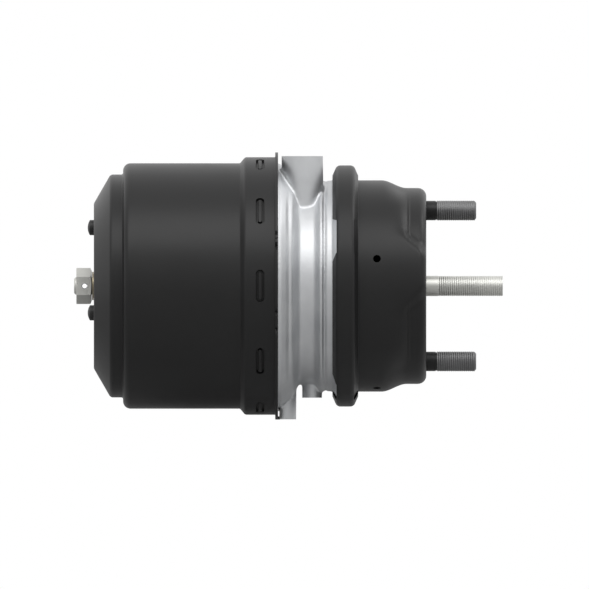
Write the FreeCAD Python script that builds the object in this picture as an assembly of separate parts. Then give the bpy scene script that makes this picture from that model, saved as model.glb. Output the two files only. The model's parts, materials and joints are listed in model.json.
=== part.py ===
import FreeCAD, Part
import math
import os

# Spring brake chamber: a diaphragm service section and a spring parking section on one axis.
# Millimetres. The axis of the chamber is X, with the push rod pointing to +X, and +Z is up.
# The origin is the centre of the mounting face, where the two studs leave the service housing.
# Angles about the axis start at the side that faces -Y and grow towards +Z.

Vector = FreeCAD.Vector

# Clearances
seat_gap = 0.1
body_gap = 0.3
running_gap = 0.05
overshoot = 1.0
least_bend = 0.3

# Motion
stroke = 57.0
release_pitch = 2.0
release_turns = 4.0

# Mounting studs and push rod
stud_spacing = 120.7
stud_radius = 7.9
stud_shank_radius = 8.5
stud_neck_radius = 7.55
stud_neck_length = 7.3
stud_reach = 39.9
stud_chamfer = 1.6
stud_head_radius = 12.0
stud_head_height = 4.5
stud_head_corner = 1.0
rod_radius = 8.1
rod_thread_radius = 7.9
rod_thread_start = 9.4
rod_reach = 61.1
rod_chamfer = 0.6
rod_foot_radius = 15.0
rod_foot_height = 3.0
rod_foot_corner = 1.0
rod_tenon_radius = 6.0

# Service housing, a pressing
service_radius = 84.55
service_wall = 3.0
service_depth = 64.8
service_bend = 0.8
nose_recess = 6.15
nose_corner = 6.8
recess_start = 35.8
recess_end = 15.8
crown_count = 2
crown_angle = 9.6
crown_half_angle = 15.0
crown_blend_angle = 17.0
drain_radius = 3.1
drain_distance = 39.5
drain_first_angle = 15.0
drain_count = 4
rod_hole_radius = 14.0

# Clamp ring, a V-section band with notched flanks and a bolted closure on its far side
clamp_radius = 96.5
clamp_wall = 1.5
clamp_crown_width = 13.4
clamp_flank_angle = 23.8
clamp_corner = 4.2
clamp_lip = 0.1
notch_count = 4
notch_first_angle = 25.0
notch_outer_angle = 16.0
notch_inner_angle = 31.0
notch_land_width = 14.0
notch_corner = 2.5
ear_thickness = 5.0
ear_gap = 10.0
ear_width = 13.0
ear_reach = 22.0
clamp_bolt_radius = 4.0
clamp_bolt_hole_gap = 0.3
clamp_hex_width = 13.0
clamp_hex_height = 5.5
clamp_hex_chamfer = 0.8
clamp_nut_height = 6.5
clamp_bolt_end = 4.0
washer_radius = 8.0
washer_height = 1.6

# Diaphragm and the joint that holds it
clamped_edge_gap = 2.4
clamped_edge_corner = 0.6
rim_face_distance = 1.7
diaphragm_wall = 3.0
diaphragm_edge_gap = 1.2
bead_corner = 0.8
dish_floor_depth = 17.7
dish_floor_radius = 58.0
dish_mouth_step = 2.55
dish_mouth_corner = 1.0
dish_corner = 6.0

# Intermediate flange, a casting
shoulder_drop = 0.25
shoulder_length = 9.9
shoulder_ramp = 4.0
groove_distance = 4.6
groove_width = 2.7
groove_depth = 0.8
neck_drop = 5.9
neck_length = 12.8
bell_step_drop = 9.6
bell_step_length = 4.8
bell_drop = 2.6
bell_length = 10.2
bell_lip = 1.8
cast_corner = 4.0
cast_edge = 1.5
cast_inner_corner = 3.0
cast_wall = 7.0
web_thickness = 10.0
web_rim = 3.0
rib_count = 8
rib_thickness = 5.0
rib_height = 22.0
hub_wall = 7.4
hub_length = 52.0

# Air ports and lower bosses on the casting
port_spread = 60.8
port_distance = 99.2
port_boss_radius = 16.5
port_boss_top = 103.9
port_boss_foot = 62.0
port_draft = 0.6
port_thread_radius = 7.19
port_thread_depth = 15.0
port_drill_radius = 4.5
port_drill_end = 60.0
port_passage_radius = 4.0
port_column_radius = 10.5
lower_boss_distance = 91.4
lower_boss_radius = 7.95
lower_boss_reach = 89.0
vent_boss_distance = 113.8
vent_boss_radius = 9.7
vent_boss_reach = 106.7
vent_boss_flat_gap = 1.6

# Spring housing, a pressing
spring_wall = 2.4
spring_radius = 97.9
collar_rise = 5.0
collar_length = 23.1
joggle_length = 3.6
joggle_bend = 3.0
rim_rise = 4.0
rim_thickness = 2.3
rim_bend = 0.6
main_length = 95.0
main_bend = 4.8
step_bend = 3.2
end_drop = 8.7
end_length = 10.0
end_bend = 3.5
end_face_radius = 66.0
end_face_bend = 4.0
end_cone_angle = 30.0
stake_count = 10
stake_length = 25.0
stake_width = 6.2
stake_depth = 1.3
stake_distance = 12.1
stake_root = 0.2
tab_angle = 8.0
tab_reach = 1.5
tab_thickness = 0.5
tab_bend = 0.4
tab_lip = 6.3

# Pilot of the casting inside the collar
pilot_gap = 0.3
pilot_length = 23.1
pilot_step = 0.6
pilot_wall = 9.0
pilot_chamfer = 0.8
o_ring_distance = 5.6
o_ring_groove_depth = 2.9
stake_groove_width = 8.4

# End plugs
plug_ring_radius = 51.4
plug_angles = (65.3, -24.7)
plug_radius = 6.6
plug_height = 5.3
plug_dome_bend = 3.7
plug_stem_radius = 3.6
plug_barb_radius = 4.6
plug_barb_height = 2.2
plug_barb_end_radius = 2.8

# Release screw
release_radius = 6.9
release_end = 15.8
release_chamfer = 1.2
release_edge = 0.5
hex_width = 25.0
hex_height = 12.3
hex_chamfer = 1.6
bush_radius = 9.5
bush_collar_radius = 11.4
bush_collar_height = 1.3
bush_collar_edge = 0.4
bush_lip_radius = 11.0
bush_lip_end_radius = 10.0
bush_lip_height = 2.0
pin_radius = 2.5
pin_bore_radius = 1.92
pin_length = 23.0
pin_slot = 0.6
pin_inset = 6.6
release_shoulder_radius = 9.2
release_shoulder_height = 3.0
release_plate_thickness = 6.0
release_lug_height = 1.4
release_lug_width = 6.0
release_head_radius = 9.2
release_head_height = 2.5

# Piston and its tube
piston_gap = 0.3
piston_stop_gap = 1.3
piston_web = 5.0
piston_land = 26.0
piston_land_wall = 8.7
piston_corner = 2.0
piston_hub_wall = 8.0
piston_hub_length = 12.0
piston_rib_width = 4.0
piston_rib_height = 3.0
piston_rib_corner = 1.0
seal_groove_width = 6.5
seal_groove_depth = 6.2
seal_groove_distance = 7.0
seal_lip_depth = 2.5
seal_lip_wall = 1.2
seal_corner = 0.5
guide_width = 8.0
guide_thickness = 2.3
guide_distance = 16.0
tube_radius = 16.0
tube_wall = 3.0
tube_tail = 5.0
tube_tail_gap = 0.7
tube_edge = 0.8
tube_collar_rise = 3.0
tube_collar_height = 4.0
circlip_thickness = 1.75
circlip_depth = 1.2
circlip_width = 4.0
circlip_mouth = 7.0
cap_length = 7.5
cap_spigot_length = 8.0
cap_dome = 2.5

# Bush and seals for the tube in the hub of the casting
stack_section = 3.6
stack_wall = 12.0
tube_seal_width = 5.8
tube_seal_groove = 1.2
tube_bush_width = 25.8
retainer_thickness = 1.5
retainer_depth = 1.2

# Springs
power_wire = 12.5
power_mean_radius = 68.0
power_turns = 3.75
spring_seat_inner_rim = 10.0
spring_seat_outer_rim = 7.0
spring_seat_height = 6.2
return_wire = 4.2
return_base_radius = 48.5
return_top_radius = 32.0
return_turns = 4.5

# Push plate, mounting plate and dust plate
push_plate_thickness = 3.5
push_plate_gap = 3.0
push_plate_rim = 4.0
push_plate_rim_wall = 2.5
push_plate_corner = 1.0
mounting_plate_thickness = 4.0
mounting_plate_gap = 3.4
mounting_plate_corner = 3.0
mounting_plate_hole = 24.0
dust_plate_radius = 22.0
dust_plate_thickness = 2.4


def rounded_wire(points):
    """A closed outline in the XZ plane through (x, z, corner radius) points."""
    corners = [Vector(x, 0, z) for x, z, radius in points]
    count = len(points)
    starts = []
    middles = []
    ends = []
    for i in range(count):
        here = corners[i]
        radius = points[i][2]
        if radius == 0:
            starts.append(here)
            middles.append(None)
            ends.append(here)
            continue
        back = (corners[i - 1] - here).normalize()
        ahead = (corners[(i + 1) % count] - here).normalize()
        half = back.getAngle(ahead) / 2
        reach = radius / math.tan(half)
        to_centre = (back + ahead).normalize()
        starts.append(here + back * reach)
        middles.append(here + to_centre * (radius / math.sin(half) - radius))
        ends.append(here + ahead * reach)
    edges = []
    for i in range(count):
        if middles[i] is not None:
            edges.append(Part.Arc(starts[i], middles[i], ends[i]).toShape())
        following = starts[(i + 1) % count]
        if ends[i].distanceToPoint(following) > 1e-6:
            edges.append(Part.LineSegment(ends[i], following).toShape())
    return Part.Wire(edges)


def turned(points):
    """A solid of revolution about the axis from (x, radius, corner radius) points."""
    face = Part.Face(rounded_wire(points))
    return face.revolve(Vector(0, 0, 0), Vector(1, 0, 0), 360)


def inner_skin(outline, wall):
    """The (x, radius, bend radius) points that lie one wall to the right of an outline."""
    skin = [Vector(x, 0, r) for x, r, bend in outline]
    along = [(skin[i + 1] - skin[i]).normalize() for i in range(len(skin) - 1)]
    inward = [Vector(d.z, 0, -d.x) for d in along]
    first = skin[0] + inward[0] * wall
    points = [(first.x, first.z, 0)]
    for i in range(1, len(skin) - 1):
        middle = (inward[i - 1] + inward[i]).normalize()
        here = skin[i] + middle * (wall / middle.dot(inward[i]))
        turns_away = along[i - 1].x * along[i].z - along[i - 1].z * along[i].x > 0
        bend = outline[i][2] + wall if turns_away else max(outline[i][2] - wall, least_bend)
        points.append((here.x, here.z, bend))
    last = skin[-1] + inward[-1] * wall
    points.append((last.x, last.z, 0))
    return points


def pressed(outline, wall):
    """A turned sheet of one thickness, from its outer skin as (x, radius, bend radius) points. The
    sheet lies to the right of the way the points go."""
    return turned(list(outline) + inner_skin(outline, wall)[::-1])


def disc(x, radius, thickness, bore=0.0):
    """A round plate or ring whose low-X face is at x."""
    solid = Part.makeCylinder(radius, thickness, Vector(x, 0, 0), Vector(1, 0, 0))
    if bore > 0:
        start = Vector(x - overshoot, 0, 0)
        solid = solid.cut(Part.makeCylinder(bore, thickness + 2 * overshoot, start, Vector(1, 0, 0)))
    return solid


def placed(shape, angle):
    """A copy of a shape made on the -Y side, turned to this angle about the axis."""
    copy = shape.copy()
    copy.rotate(Vector(0, 0, 0), Vector(1, 0, 0), -angle)
    return copy


def ring_of(shape, count, first_angle=0.0):
    """Equally spaced copies of a shape made on the -Y side."""
    return [placed(shape, first_angle + 360.0 * i / count) for i in range(count)]


def hexagon(x, width, height, chamfer):
    """A hexagonal prism along X with flats facing -Y and +Y and both ends chamfered."""
    corner = width / math.sqrt(3)
    points = []
    for i in range(7):
        angle = math.radians(60 * i)
        points.append(Vector(x, corner * math.sin(angle), corner * math.cos(angle)))
    prism = Part.Face(Part.makePolygon(points)).extrude(Vector(height, 0, 0))
    drop = chamfer * math.tan(math.radians(30))
    return prism.common(turned([
        (x, 0, 0),
        (x, corner - chamfer, 0),
        (x + drop, corner, 0),
        (x + height - drop, corner, 0),
        (x + height, corner - chamfer, 0),
        (x + height, 0, 0),
    ]))


def coil(x, length, back_radius, front_radius, wire, turns):
    """A compression spring along X with ground ends, no narrower at its back than at its front.
    The radii are those of the wire's centre."""
    rise = length - wire / 2
    slope = math.degrees(math.atan((back_radius - front_radius) / rise))
    helix = Part.makeHelix(rise / turns, rise, front_radius, slope)
    section = Part.Wire(Part.makeCircle(wire / 2, Vector(front_radius, 0, 0), Vector(0, 1, 0)))
    solid = Part.Wire(helix).makePipeShell([section], True, True)
    solid.rotate(Vector(0, 0, 0), Vector(0, 1, 0), -90)
    solid.translate(Vector(x + length - wire / 4, 0, 0))
    return solid.common(disc(x, back_radius + wire, length))


def clamp_skin(radius):
    """Half the clamp ring's width between its outer skins at a radius."""
    slope = math.tan(math.radians(clamp_flank_angle))
    return clamp_crown_width / 2 + (clamp_radius - radius) * slope


def clamp_seat(radius):
    """Half the space between the inner skins of the clamp ring's flanks at a radius."""
    return clamp_skin(radius) - clamp_wall / math.cos(math.radians(clamp_flank_angle))


# Radii that follow from the sizes above
rim_edge_radius = clamp_radius - clamp_wall - clamped_edge_gap
shoulder_radius = service_radius - shoulder_drop
neck_radius = shoulder_radius - neck_drop
dish_mouth_radius = service_radius - service_wall - dish_mouth_step
push_plate_radius = dish_floor_radius - push_plate_gap
mounting_plate_radius = service_radius - nose_recess - service_wall - mounting_plate_gap
collar_radius = spring_radius + collar_rise
rim_radius = collar_radius + rim_rise
tab_lip_radius = rim_radius - tab_lip
end_radius = spring_radius - end_drop
cylinder_radius = spring_radius - spring_wall
pilot_radius = collar_radius - spring_wall - pilot_gap
bell_radius = pilot_radius - bell_drop
bell_step_radius = bell_radius - bell_step_drop
tube_bore_radius = tube_radius - tube_wall
tube_tail_bore = release_radius + tube_tail_gap
tube_collar_radius = tube_radius + tube_collar_rise
stack_radius = tube_radius + stack_section
hub_radius = stack_radius + hub_wall
piston_hub_radius = tube_radius + piston_hub_wall
spring_seat_inner_radius = power_mean_radius - spring_seat_inner_rim
spring_seat_outer_radius = power_mean_radius + spring_seat_outer_rim
ear_hole_radius = clamp_radius + ear_reach - ear_width / 2

# Places along the axis
clamp_x = -service_depth
clamp_edge_radius = service_radius + body_gap
clamp_half_width = clamp_seat(clamp_edge_radius) + clamp_lip
rim_face_x = clamp_x - rim_face_distance
dish_floor_x = rim_face_x - dish_floor_depth
shoulder_x = clamp_x - clamp_half_width - shoulder_length
neck_x = shoulder_x - shoulder_ramp
bell_x = neck_x - neck_length
bell_step_x = bell_x - bell_step_length
bell_lip_x = bell_step_x - bell_length
rim_x = bell_lip_x - bell_lip
collar_front_x = rim_x - rim_thickness
collar_x = collar_front_x - collar_length
joggle_x = collar_x - joggle_length
main_x = joggle_x - main_length
cone_length = (end_radius - end_face_radius) * math.tan(math.radians(end_cone_angle))
end_shoulder_x = main_x - end_length
end_x = end_shoulder_x - cone_length
end_inner_x = end_x + spring_wall
stake_x = collar_front_x - stake_distance
pilot_x = rim_x - pilot_length
web_x = dish_floor_x - web_thickness
hub_x = dish_floor_x - hub_length
piston_x = pilot_x - piston_stop_gap - stroke
piston_back_x = piston_x - piston_web
piston_hub_x = piston_x - piston_hub_length
tube_back_x = piston_hub_x - tube_tail
cap_x = dish_floor_x - body_gap
tube_front_x = cap_x - cap_length
push_plate_x = dish_floor_x + body_gap + diaphragm_wall + body_gap
push_plate_front_x = push_plate_x + push_plate_thickness
mounting_plate_x = -service_wall - seat_gap - mounting_plate_thickness
bush_collar_x = end_x - seat_gap - bush_collar_height
bush_lip_x = end_inner_x + seat_gap
hex_x = bush_collar_x - body_gap - hex_height
release_end_x = end_x - release_end
release_shoulder_x = bush_lip_x + bush_lip_height + body_gap
tube_step_x = piston_hub_x
release_travel = release_pitch * release_turns
release_plate_x = tube_step_x + stroke + body_gap + release_travel
release_head_x = release_plate_x + release_plate_thickness + body_gap
spring_seat_x = end_inner_x + spring_seat_height


def flange_cone_x(radius):
    """Where the outer skin of the service housing's flange lies at a radius."""
    return clamp_x + clamp_seat(radius) - seat_gap


def service_outline():
    """Outer skin of the service housing from the edge of its flange to the end of its barrel."""
    return [
        (flange_cone_x(rim_edge_radius), rim_edge_radius, 0),
        (flange_cone_x(service_radius), service_radius, service_bend),
        (-recess_start, service_radius, 0),
    ]


def crown_share(angle):
    """1 on the two crowns of the nose, 0 in its recesses, with a smooth change between them."""
    spacing = 360.0 / crown_count
    off = abs((angle - crown_angle + spacing / 2) % spacing - spacing / 2)
    start = crown_half_angle - crown_blend_angle / 2
    share = min(max((off - start) / crown_blend_angle, 0.0), 1.0)
    return 1.0 - share * share * (3.0 - 2.0 * share)


def nose_wire(x, depth, inset):
    """A closed section of the nose at x, with its recesses this deep."""
    if depth == 0:
        return Part.Wire(Part.makeCircle(service_radius - inset, Vector(x, 0, 0), Vector(1, 0, 0)))
    steps = 72
    points = []
    for i in range(steps):
        turn = 2 * math.pi * i / steps
        angle = math.degrees(turn)
        radius = service_radius - inset - depth * (1.0 - crown_share(angle))
        points.append(Vector(x, -radius * math.cos(turn), radius * math.sin(turn)))
    curve = Part.BSplineCurve()
    curve.interpolate(points, PeriodicFlag=True)
    return Part.Wire(curve.toShape())


def nose_solid(inset):
    """The nose of the service housing, inset by nothing for its outside or by the wall."""
    front_x = -inset
    steps = 6
    wires = []
    for i in range(steps + 1):
        share = i / steps
        depth = nose_recess * (1.0 - math.cos(math.pi * share)) / 2
        wires.append(nose_wire(-recess_start + (recess_start - recess_end) * share, depth, inset))
    shoulder = Part.makeLoft(wires, True, False)
    section = Part.Face(nose_wire(-recess_end, nose_recess, inset))
    snout = section.extrude(Vector(front_x + recess_end, 0, 0))
    front = [e for e in snout.Edges if e.BoundBox.XMin > front_x - seat_gap]
    snout = snout.makeFillet(nose_corner - inset, front)
    return shoulder.fuse(snout)


def make_service_housing():
    outline = service_outline()
    outside = turned([(outline[0][0], 0, 0)] + outline + [(-recess_start, 0, 0)])
    inner = inner_skin(outline, service_wall)
    inside = turned([(inner[0][0], 0, 0)] + inner + [(-recess_start, 0, 0)])
    shell = outside.fuse(nose_solid(0.0)).cut(inside.fuse(nose_solid(service_wall)))
    mouth = disc(outline[0][0] - service_depth, rim_edge_radius, service_depth)
    shell = shell.cut(mouth.cut(pressed(outline, service_wall)))
    hole = Part.makeCylinder(
        drain_radius, 3 * service_wall, Vector(-drain_distance, 0, 0), Vector(0, -1, 0))
    hole.translate(Vector(0, -service_radius + 2 * service_wall, 0))
    for copy in ring_of(hole, drain_count, drain_first_angle):
        shell = shell.cut(copy)
    shell = shell.cut(disc(-2 * service_wall, rod_hole_radius, 3 * service_wall))
    for side in (-1, 1):
        shell = shell.cut(stud_bore(side))
    return shell.removeSplitter()


def stud_bore(side):
    """The hole for one stud through the housing and the mounting plate."""
    start = Vector(mounting_plate_x - overshoot, 0, side * stud_spacing / 2)
    length = 2 * overshoot - mounting_plate_x
    return Part.makeCylinder(stud_shank_radius + seat_gap, length, start, Vector(1, 0, 0))


def make_mounting_plate():
    x = mounting_plate_x
    front = x + mounting_plate_thickness
    plate = turned([
        (x, mounting_plate_hole, 0),
        (x, mounting_plate_radius, 0),
        (front, mounting_plate_radius, mounting_plate_corner),
        (front, mounting_plate_hole, 0),
    ])
    for side in (-1, 1):
        plate = plate.cut(stud_bore(side))
    return plate


def make_mounting_studs():
    """Two studs: a head and a thick shank in the housing, a plain neck, and an end for the thread."""
    head_x = mounting_plate_x - seat_gap
    studs = []
    for side in (-1, 1):
        stud = turned([
            (head_x - stud_head_height, 0, 0),
            (head_x - stud_head_height, stud_head_radius, stud_head_corner),
            (head_x, stud_head_radius, 0),
            (head_x, stud_shank_radius, 0),
            (0.0, stud_shank_radius, 0),
            (0.0, stud_neck_radius, 0),
            (stud_neck_length, stud_neck_radius, 0),
            (stud_neck_length, stud_radius, 0),
            (stud_reach - stud_chamfer, stud_radius, 0),
            (stud_reach, stud_radius - stud_chamfer, 0),
            (stud_reach, 0, 0),
        ])
        stud.translate(Vector(0, 0, side * stud_spacing / 2))
        studs.append(stud)
    return Part.makeCompound(studs)


def make_dust_plate():
    x = -service_wall - seat_gap - dust_plate_thickness
    return disc(x, dust_plate_radius, dust_plate_thickness, rod_radius + running_gap)


def make_push_rod():
    foot_x = push_plate_front_x + running_gap
    return turned([
        (push_plate_x, 0, 0),
        (push_plate_x, rod_tenon_radius, 0),
        (foot_x, rod_tenon_radius, 0),
        (foot_x, rod_foot_radius, 0),
        (foot_x + rod_foot_height, rod_foot_radius, rod_foot_corner),
        (foot_x + rod_foot_height, rod_radius, rod_foot_corner),
        (rod_thread_start, rod_radius, 0),
        (rod_thread_start, rod_thread_radius, 0),
        (rod_reach - rod_chamfer, rod_thread_radius, 0),
        (rod_reach, rod_thread_radius - rod_chamfer, 0),
        (rod_reach, 0, 0),
    ])


def make_push_plate():
    """A pressed disc whose edge turns forward, with a hole for the tenon of the rod."""
    back = push_plate_x
    front = push_plate_front_x
    return turned([
        (back, rod_tenon_radius + running_gap, 0),
        (back, push_plate_radius, push_plate_thickness),
        (front + push_plate_rim, push_plate_radius, 0),
        (front + push_plate_rim, push_plate_radius - push_plate_rim_wall, 0),
        (front, push_plate_radius - push_plate_rim_wall, push_plate_corner),
        (front, rod_tenon_radius + running_gap, 0),
    ])


def make_return_spring():
    start = push_plate_front_x + body_gap
    length = mounting_plate_x - seat_gap - start
    return coil(start, length, return_base_radius, return_top_radius, return_wire, return_turns)


def make_diaphragm():
    """A rubber disc that lies in the dish of the casting, with a wedge bead in the clamped joint."""
    back = dish_floor_x + body_gap
    face = rim_face_x + seat_gap
    edge = rim_edge_radius - diaphragm_edge_gap
    inner = inner_skin(service_outline(), service_wall)
    slope = math.tan(math.radians(clamp_flank_angle))
    bead_inner = inner[1][1] - seat_gap
    cone_x = inner[0][0] - seat_gap * 2
    front_edge = cone_x + (inner[0][1] - edge) * slope
    front_inner = cone_x + (inner[0][1] - bead_inner) * slope
    mouth = dish_mouth_radius - body_gap
    floor = dish_floor_radius - body_gap
    outline = [
        (back, 0, 0),
        (back, floor, dish_corner),
        (face, mouth, dish_mouth_corner),
        (face, edge, bead_corner),
        (front_edge, edge, bead_corner),
        (front_inner, bead_inner, diaphragm_wall / 2),
        (face + diaphragm_wall, mouth - diaphragm_wall / 2, dish_mouth_corner + diaphragm_wall),
        (back + diaphragm_wall, floor - diaphragm_wall / 2, dish_corner - diaphragm_wall / 2),
        (back + diaphragm_wall, 0, 0),
    ]
    return turned(outline)


def make_clamp_ring():
    """The V-section band with notched flanks, split on its far side between two bolted ears."""
    left = clamp_x - clamp_half_width
    right = clamp_x + clamp_half_width
    slope = math.tan(math.radians(clamp_flank_angle))
    shoulder = clamp_radius - (clamp_half_width - clamp_crown_width / 2) / slope
    inner_radius = clamp_radius - clamp_wall
    inner_bend = clamp_corner - clamp_wall
    foot = clamp_seat(clamp_edge_radius)
    crown = clamp_seat(inner_radius)
    band = turned([
        (left, clamp_edge_radius, 0),
        (left, shoulder, 0),
        (clamp_x - clamp_crown_width / 2, clamp_radius, clamp_corner),
        (clamp_x + clamp_crown_width / 2, clamp_radius, clamp_corner),
        (right, shoulder, 0),
        (right, clamp_edge_radius, 0),
        (clamp_x + foot, clamp_edge_radius, 0),
        (clamp_x + crown, inner_radius, inner_bend),
        (clamp_x - crown, inner_radius, inner_bend),
        (clamp_x - foot, clamp_edge_radius, 0),
    ])
    for copy in ring_of(flank_notch(), notch_count, notch_first_angle):
        band = band.cut(copy)
    for side in (-1, 1):
        band = band.fuse(placed(clamp_ear(side), 180.0))
    gap = Part.makeBox(
        2 * (clamp_half_width + overshoot), 2 * ear_reach, ear_gap,
        Vector(left - overshoot, -clamp_radius - ear_reach / 2, -ear_gap / 2))
    return band.cut(placed(gap, 180.0)).removeSplitter()


def flank_notch():
    """What one notch takes from both flanks, narrower outward, with the crown left whole."""
    inner = clamp_edge_radius - clamp_wall
    outer = clamp_radius
    wide = math.radians(notch_inner_angle / 2)
    narrow = math.radians(notch_outer_angle / 2)
    wire = rounded_wire([
        (-inner * math.cos(wide), -inner * math.sin(wide), 0),
        (-outer * math.cos(narrow), -outer * math.sin(narrow), notch_corner),
        (-outer * math.cos(narrow), outer * math.sin(narrow), notch_corner),
        (-inner * math.cos(wide), inner * math.sin(wide), 0),
    ])
    face = Part.Face(wire)
    face.rotate(Vector(0, 0, 0), Vector(0, 0, 1), 90)
    depth = clamp_half_width - notch_land_width / 2 + overshoot
    cutters = []
    for start in (-clamp_half_width - overshoot, notch_land_width / 2):
        cutter = face.copy()
        cutter.translate(Vector(clamp_x + start, 0, 0))
        cutters.append(cutter.extrude(Vector(depth, 0, 0)))
    return Part.makeCompound(cutters)


def clamp_ear(side):
    """One ear of the closure, made on the -Y side: a plate with a round end and a bolt hole."""
    low = ear_gap / 2 if side > 0 else -ear_gap / 2 - ear_thickness
    root = clamp_radius - 2 * clamp_wall
    plate = Part.makeBox(
        ear_width, ear_hole_radius - root, ear_thickness,
        Vector(clamp_x - ear_width / 2, -ear_hole_radius, low))
    centre = Vector(clamp_x, -ear_hole_radius, low)
    plate = plate.fuse(Part.makeCylinder(ear_width / 2, ear_thickness, centre))
    hole = clamp_bolt_radius + clamp_bolt_hole_gap
    return plate.cut(Part.makeCylinder(hole, ear_thickness, centre))


def on_clamp_bolt(shape):
    """Moves a shape made along X at the origin to the bolt axis of the closure, along Z."""
    shape.rotate(Vector(0, 0, 0), Vector(0, 1, 0), -90)
    shape.translate(Vector(clamp_x, ear_hole_radius, 0))
    return shape


def make_clamp_bolt():
    seat = ear_gap / 2 + ear_thickness + washer_height + 2 * seat_gap
    head = hexagon(-seat - clamp_hex_height, clamp_hex_width, clamp_hex_height, clamp_hex_chamfer)
    end = seat + clamp_nut_height + clamp_bolt_end
    shank = turned([
        (-seat - overshoot, 0, 0),
        (-seat - overshoot, clamp_bolt_radius, 0),
        (end - clamp_hex_chamfer, clamp_bolt_radius, 0),
        (end, clamp_bolt_radius - clamp_hex_chamfer, 0),
        (end, 0, 0),
    ])
    return on_clamp_bolt(head.fuse(shank))


def make_clamp_nut():
    seat = ear_gap / 2 + ear_thickness + washer_height + 2 * seat_gap
    nut = hexagon(seat, clamp_hex_width, clamp_nut_height, clamp_hex_chamfer)
    bore = disc(seat - overshoot, clamp_bolt_radius + running_gap, clamp_nut_height + 2 * overshoot)
    nut = nut.cut(bore)
    return on_clamp_bolt(nut)


def make_clamp_washers():
    seat = ear_gap / 2 + ear_thickness + seat_gap
    bore = clamp_bolt_radius + seat_gap
    pair = [disc(x, washer_radius, washer_height, bore) for x in (-seat - washer_height, seat)]
    return on_clamp_bolt(Part.makeCompound(pair))


def casting_outline():
    """Outer skin of the casting from the front of its pilot to the foot of its clamped rim."""
    return [
        (rim_x - pilot_step, bell_radius, 0),
        (bell_lip_x, bell_radius, cast_edge),
        (bell_step_x, bell_step_radius, cast_corner),
        (bell_x, neck_radius, cast_corner),
        (neck_x, neck_radius, cast_corner),
        (shoulder_x, shoulder_radius, cast_edge),
        (clamp_x - clamp_seat(shoulder_radius) + seat_gap, shoulder_radius, 0),
    ]


def casting_cavity():
    """The rear hollow of the casting round its hub, one wall inside its outer skin."""
    skin = inner_skin(casting_outline(), cast_wall)
    bore = pilot_radius - pilot_wall
    cavity = turned([
        (pilot_x - overshoot, 0, 0),
        (pilot_x - overshoot, bore, 0),
        (skin[1][0], bore, cast_inner_corner),
        (skin[2][0], skin[2][1], cast_inner_corner),
        (skin[3][0], skin[3][1], cast_inner_corner),
        (web_x, skin[3][1] - web_rim, cast_corner),
        (web_x, hub_radius, cast_corner),
        (hub_x, hub_radius, 0),
        (hub_x, 0, 0),
    ])
    rib = Part.makeBox(
        rib_height, cylinder_radius, rib_thickness,
        Vector(web_x - rib_height, -cylinder_radius, -rib_thickness / 2))
    for copy in ring_of(rib, rib_count, 180.0 / rib_count):
        cavity = cavity.cut(copy)
    column = Part.makeCylinder(
        port_column_radius, port_boss_top - port_drill_end + 2 * port_drill_radius,
        Vector(-port_distance, port_spread / 2, port_drill_end - 2 * port_drill_radius))
    return cavity.cut(column)


def port_boss(side):
    """An upright port boss with a slight draft, on the -Y or +Y side of the top."""
    height = port_boss_top - port_boss_foot
    centre = Vector(-port_distance, side * port_spread / 2, port_boss_foot)
    return Part.makeCone(port_boss_radius + port_draft, port_boss_radius, height, centre)


def port_bore(side):
    """Thread bore and drilling of one port."""
    centre = Vector(-port_distance, side * port_spread / 2, port_boss_top - port_thread_depth)
    bore = Part.makeCylinder(port_thread_radius, port_thread_depth + overshoot, centre)
    centre.z = port_drill_end - port_drill_radius
    drill = Part.makeCylinder(port_drill_radius, port_boss_top - centre.z, centre)
    return bore.fuse(drill)


def lower_bosses():
    """The round boss behind the clamp, and the flat-backed one beside the rim."""
    down = Vector(0, 0, -1)
    start = neck_radius - 2 * cast_wall
    small = Part.makeCylinder(
        lower_boss_radius, lower_boss_reach - start,
        Vector(-lower_boss_distance, 0, -start), down)
    large = Part.makeCone(
        vent_boss_radius + port_draft, vent_boss_radius, vent_boss_reach - start,
        Vector(-vent_boss_distance, 0, -start), down)
    width = 3 * vent_boss_radius
    corner = Vector(rim_x + vent_boss_flat_gap - width, -width / 2, -vent_boss_reach - overshoot)
    back = Part.makeBox(width, width, vent_boss_reach, corner)
    return [small, large.cut(back)]


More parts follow.
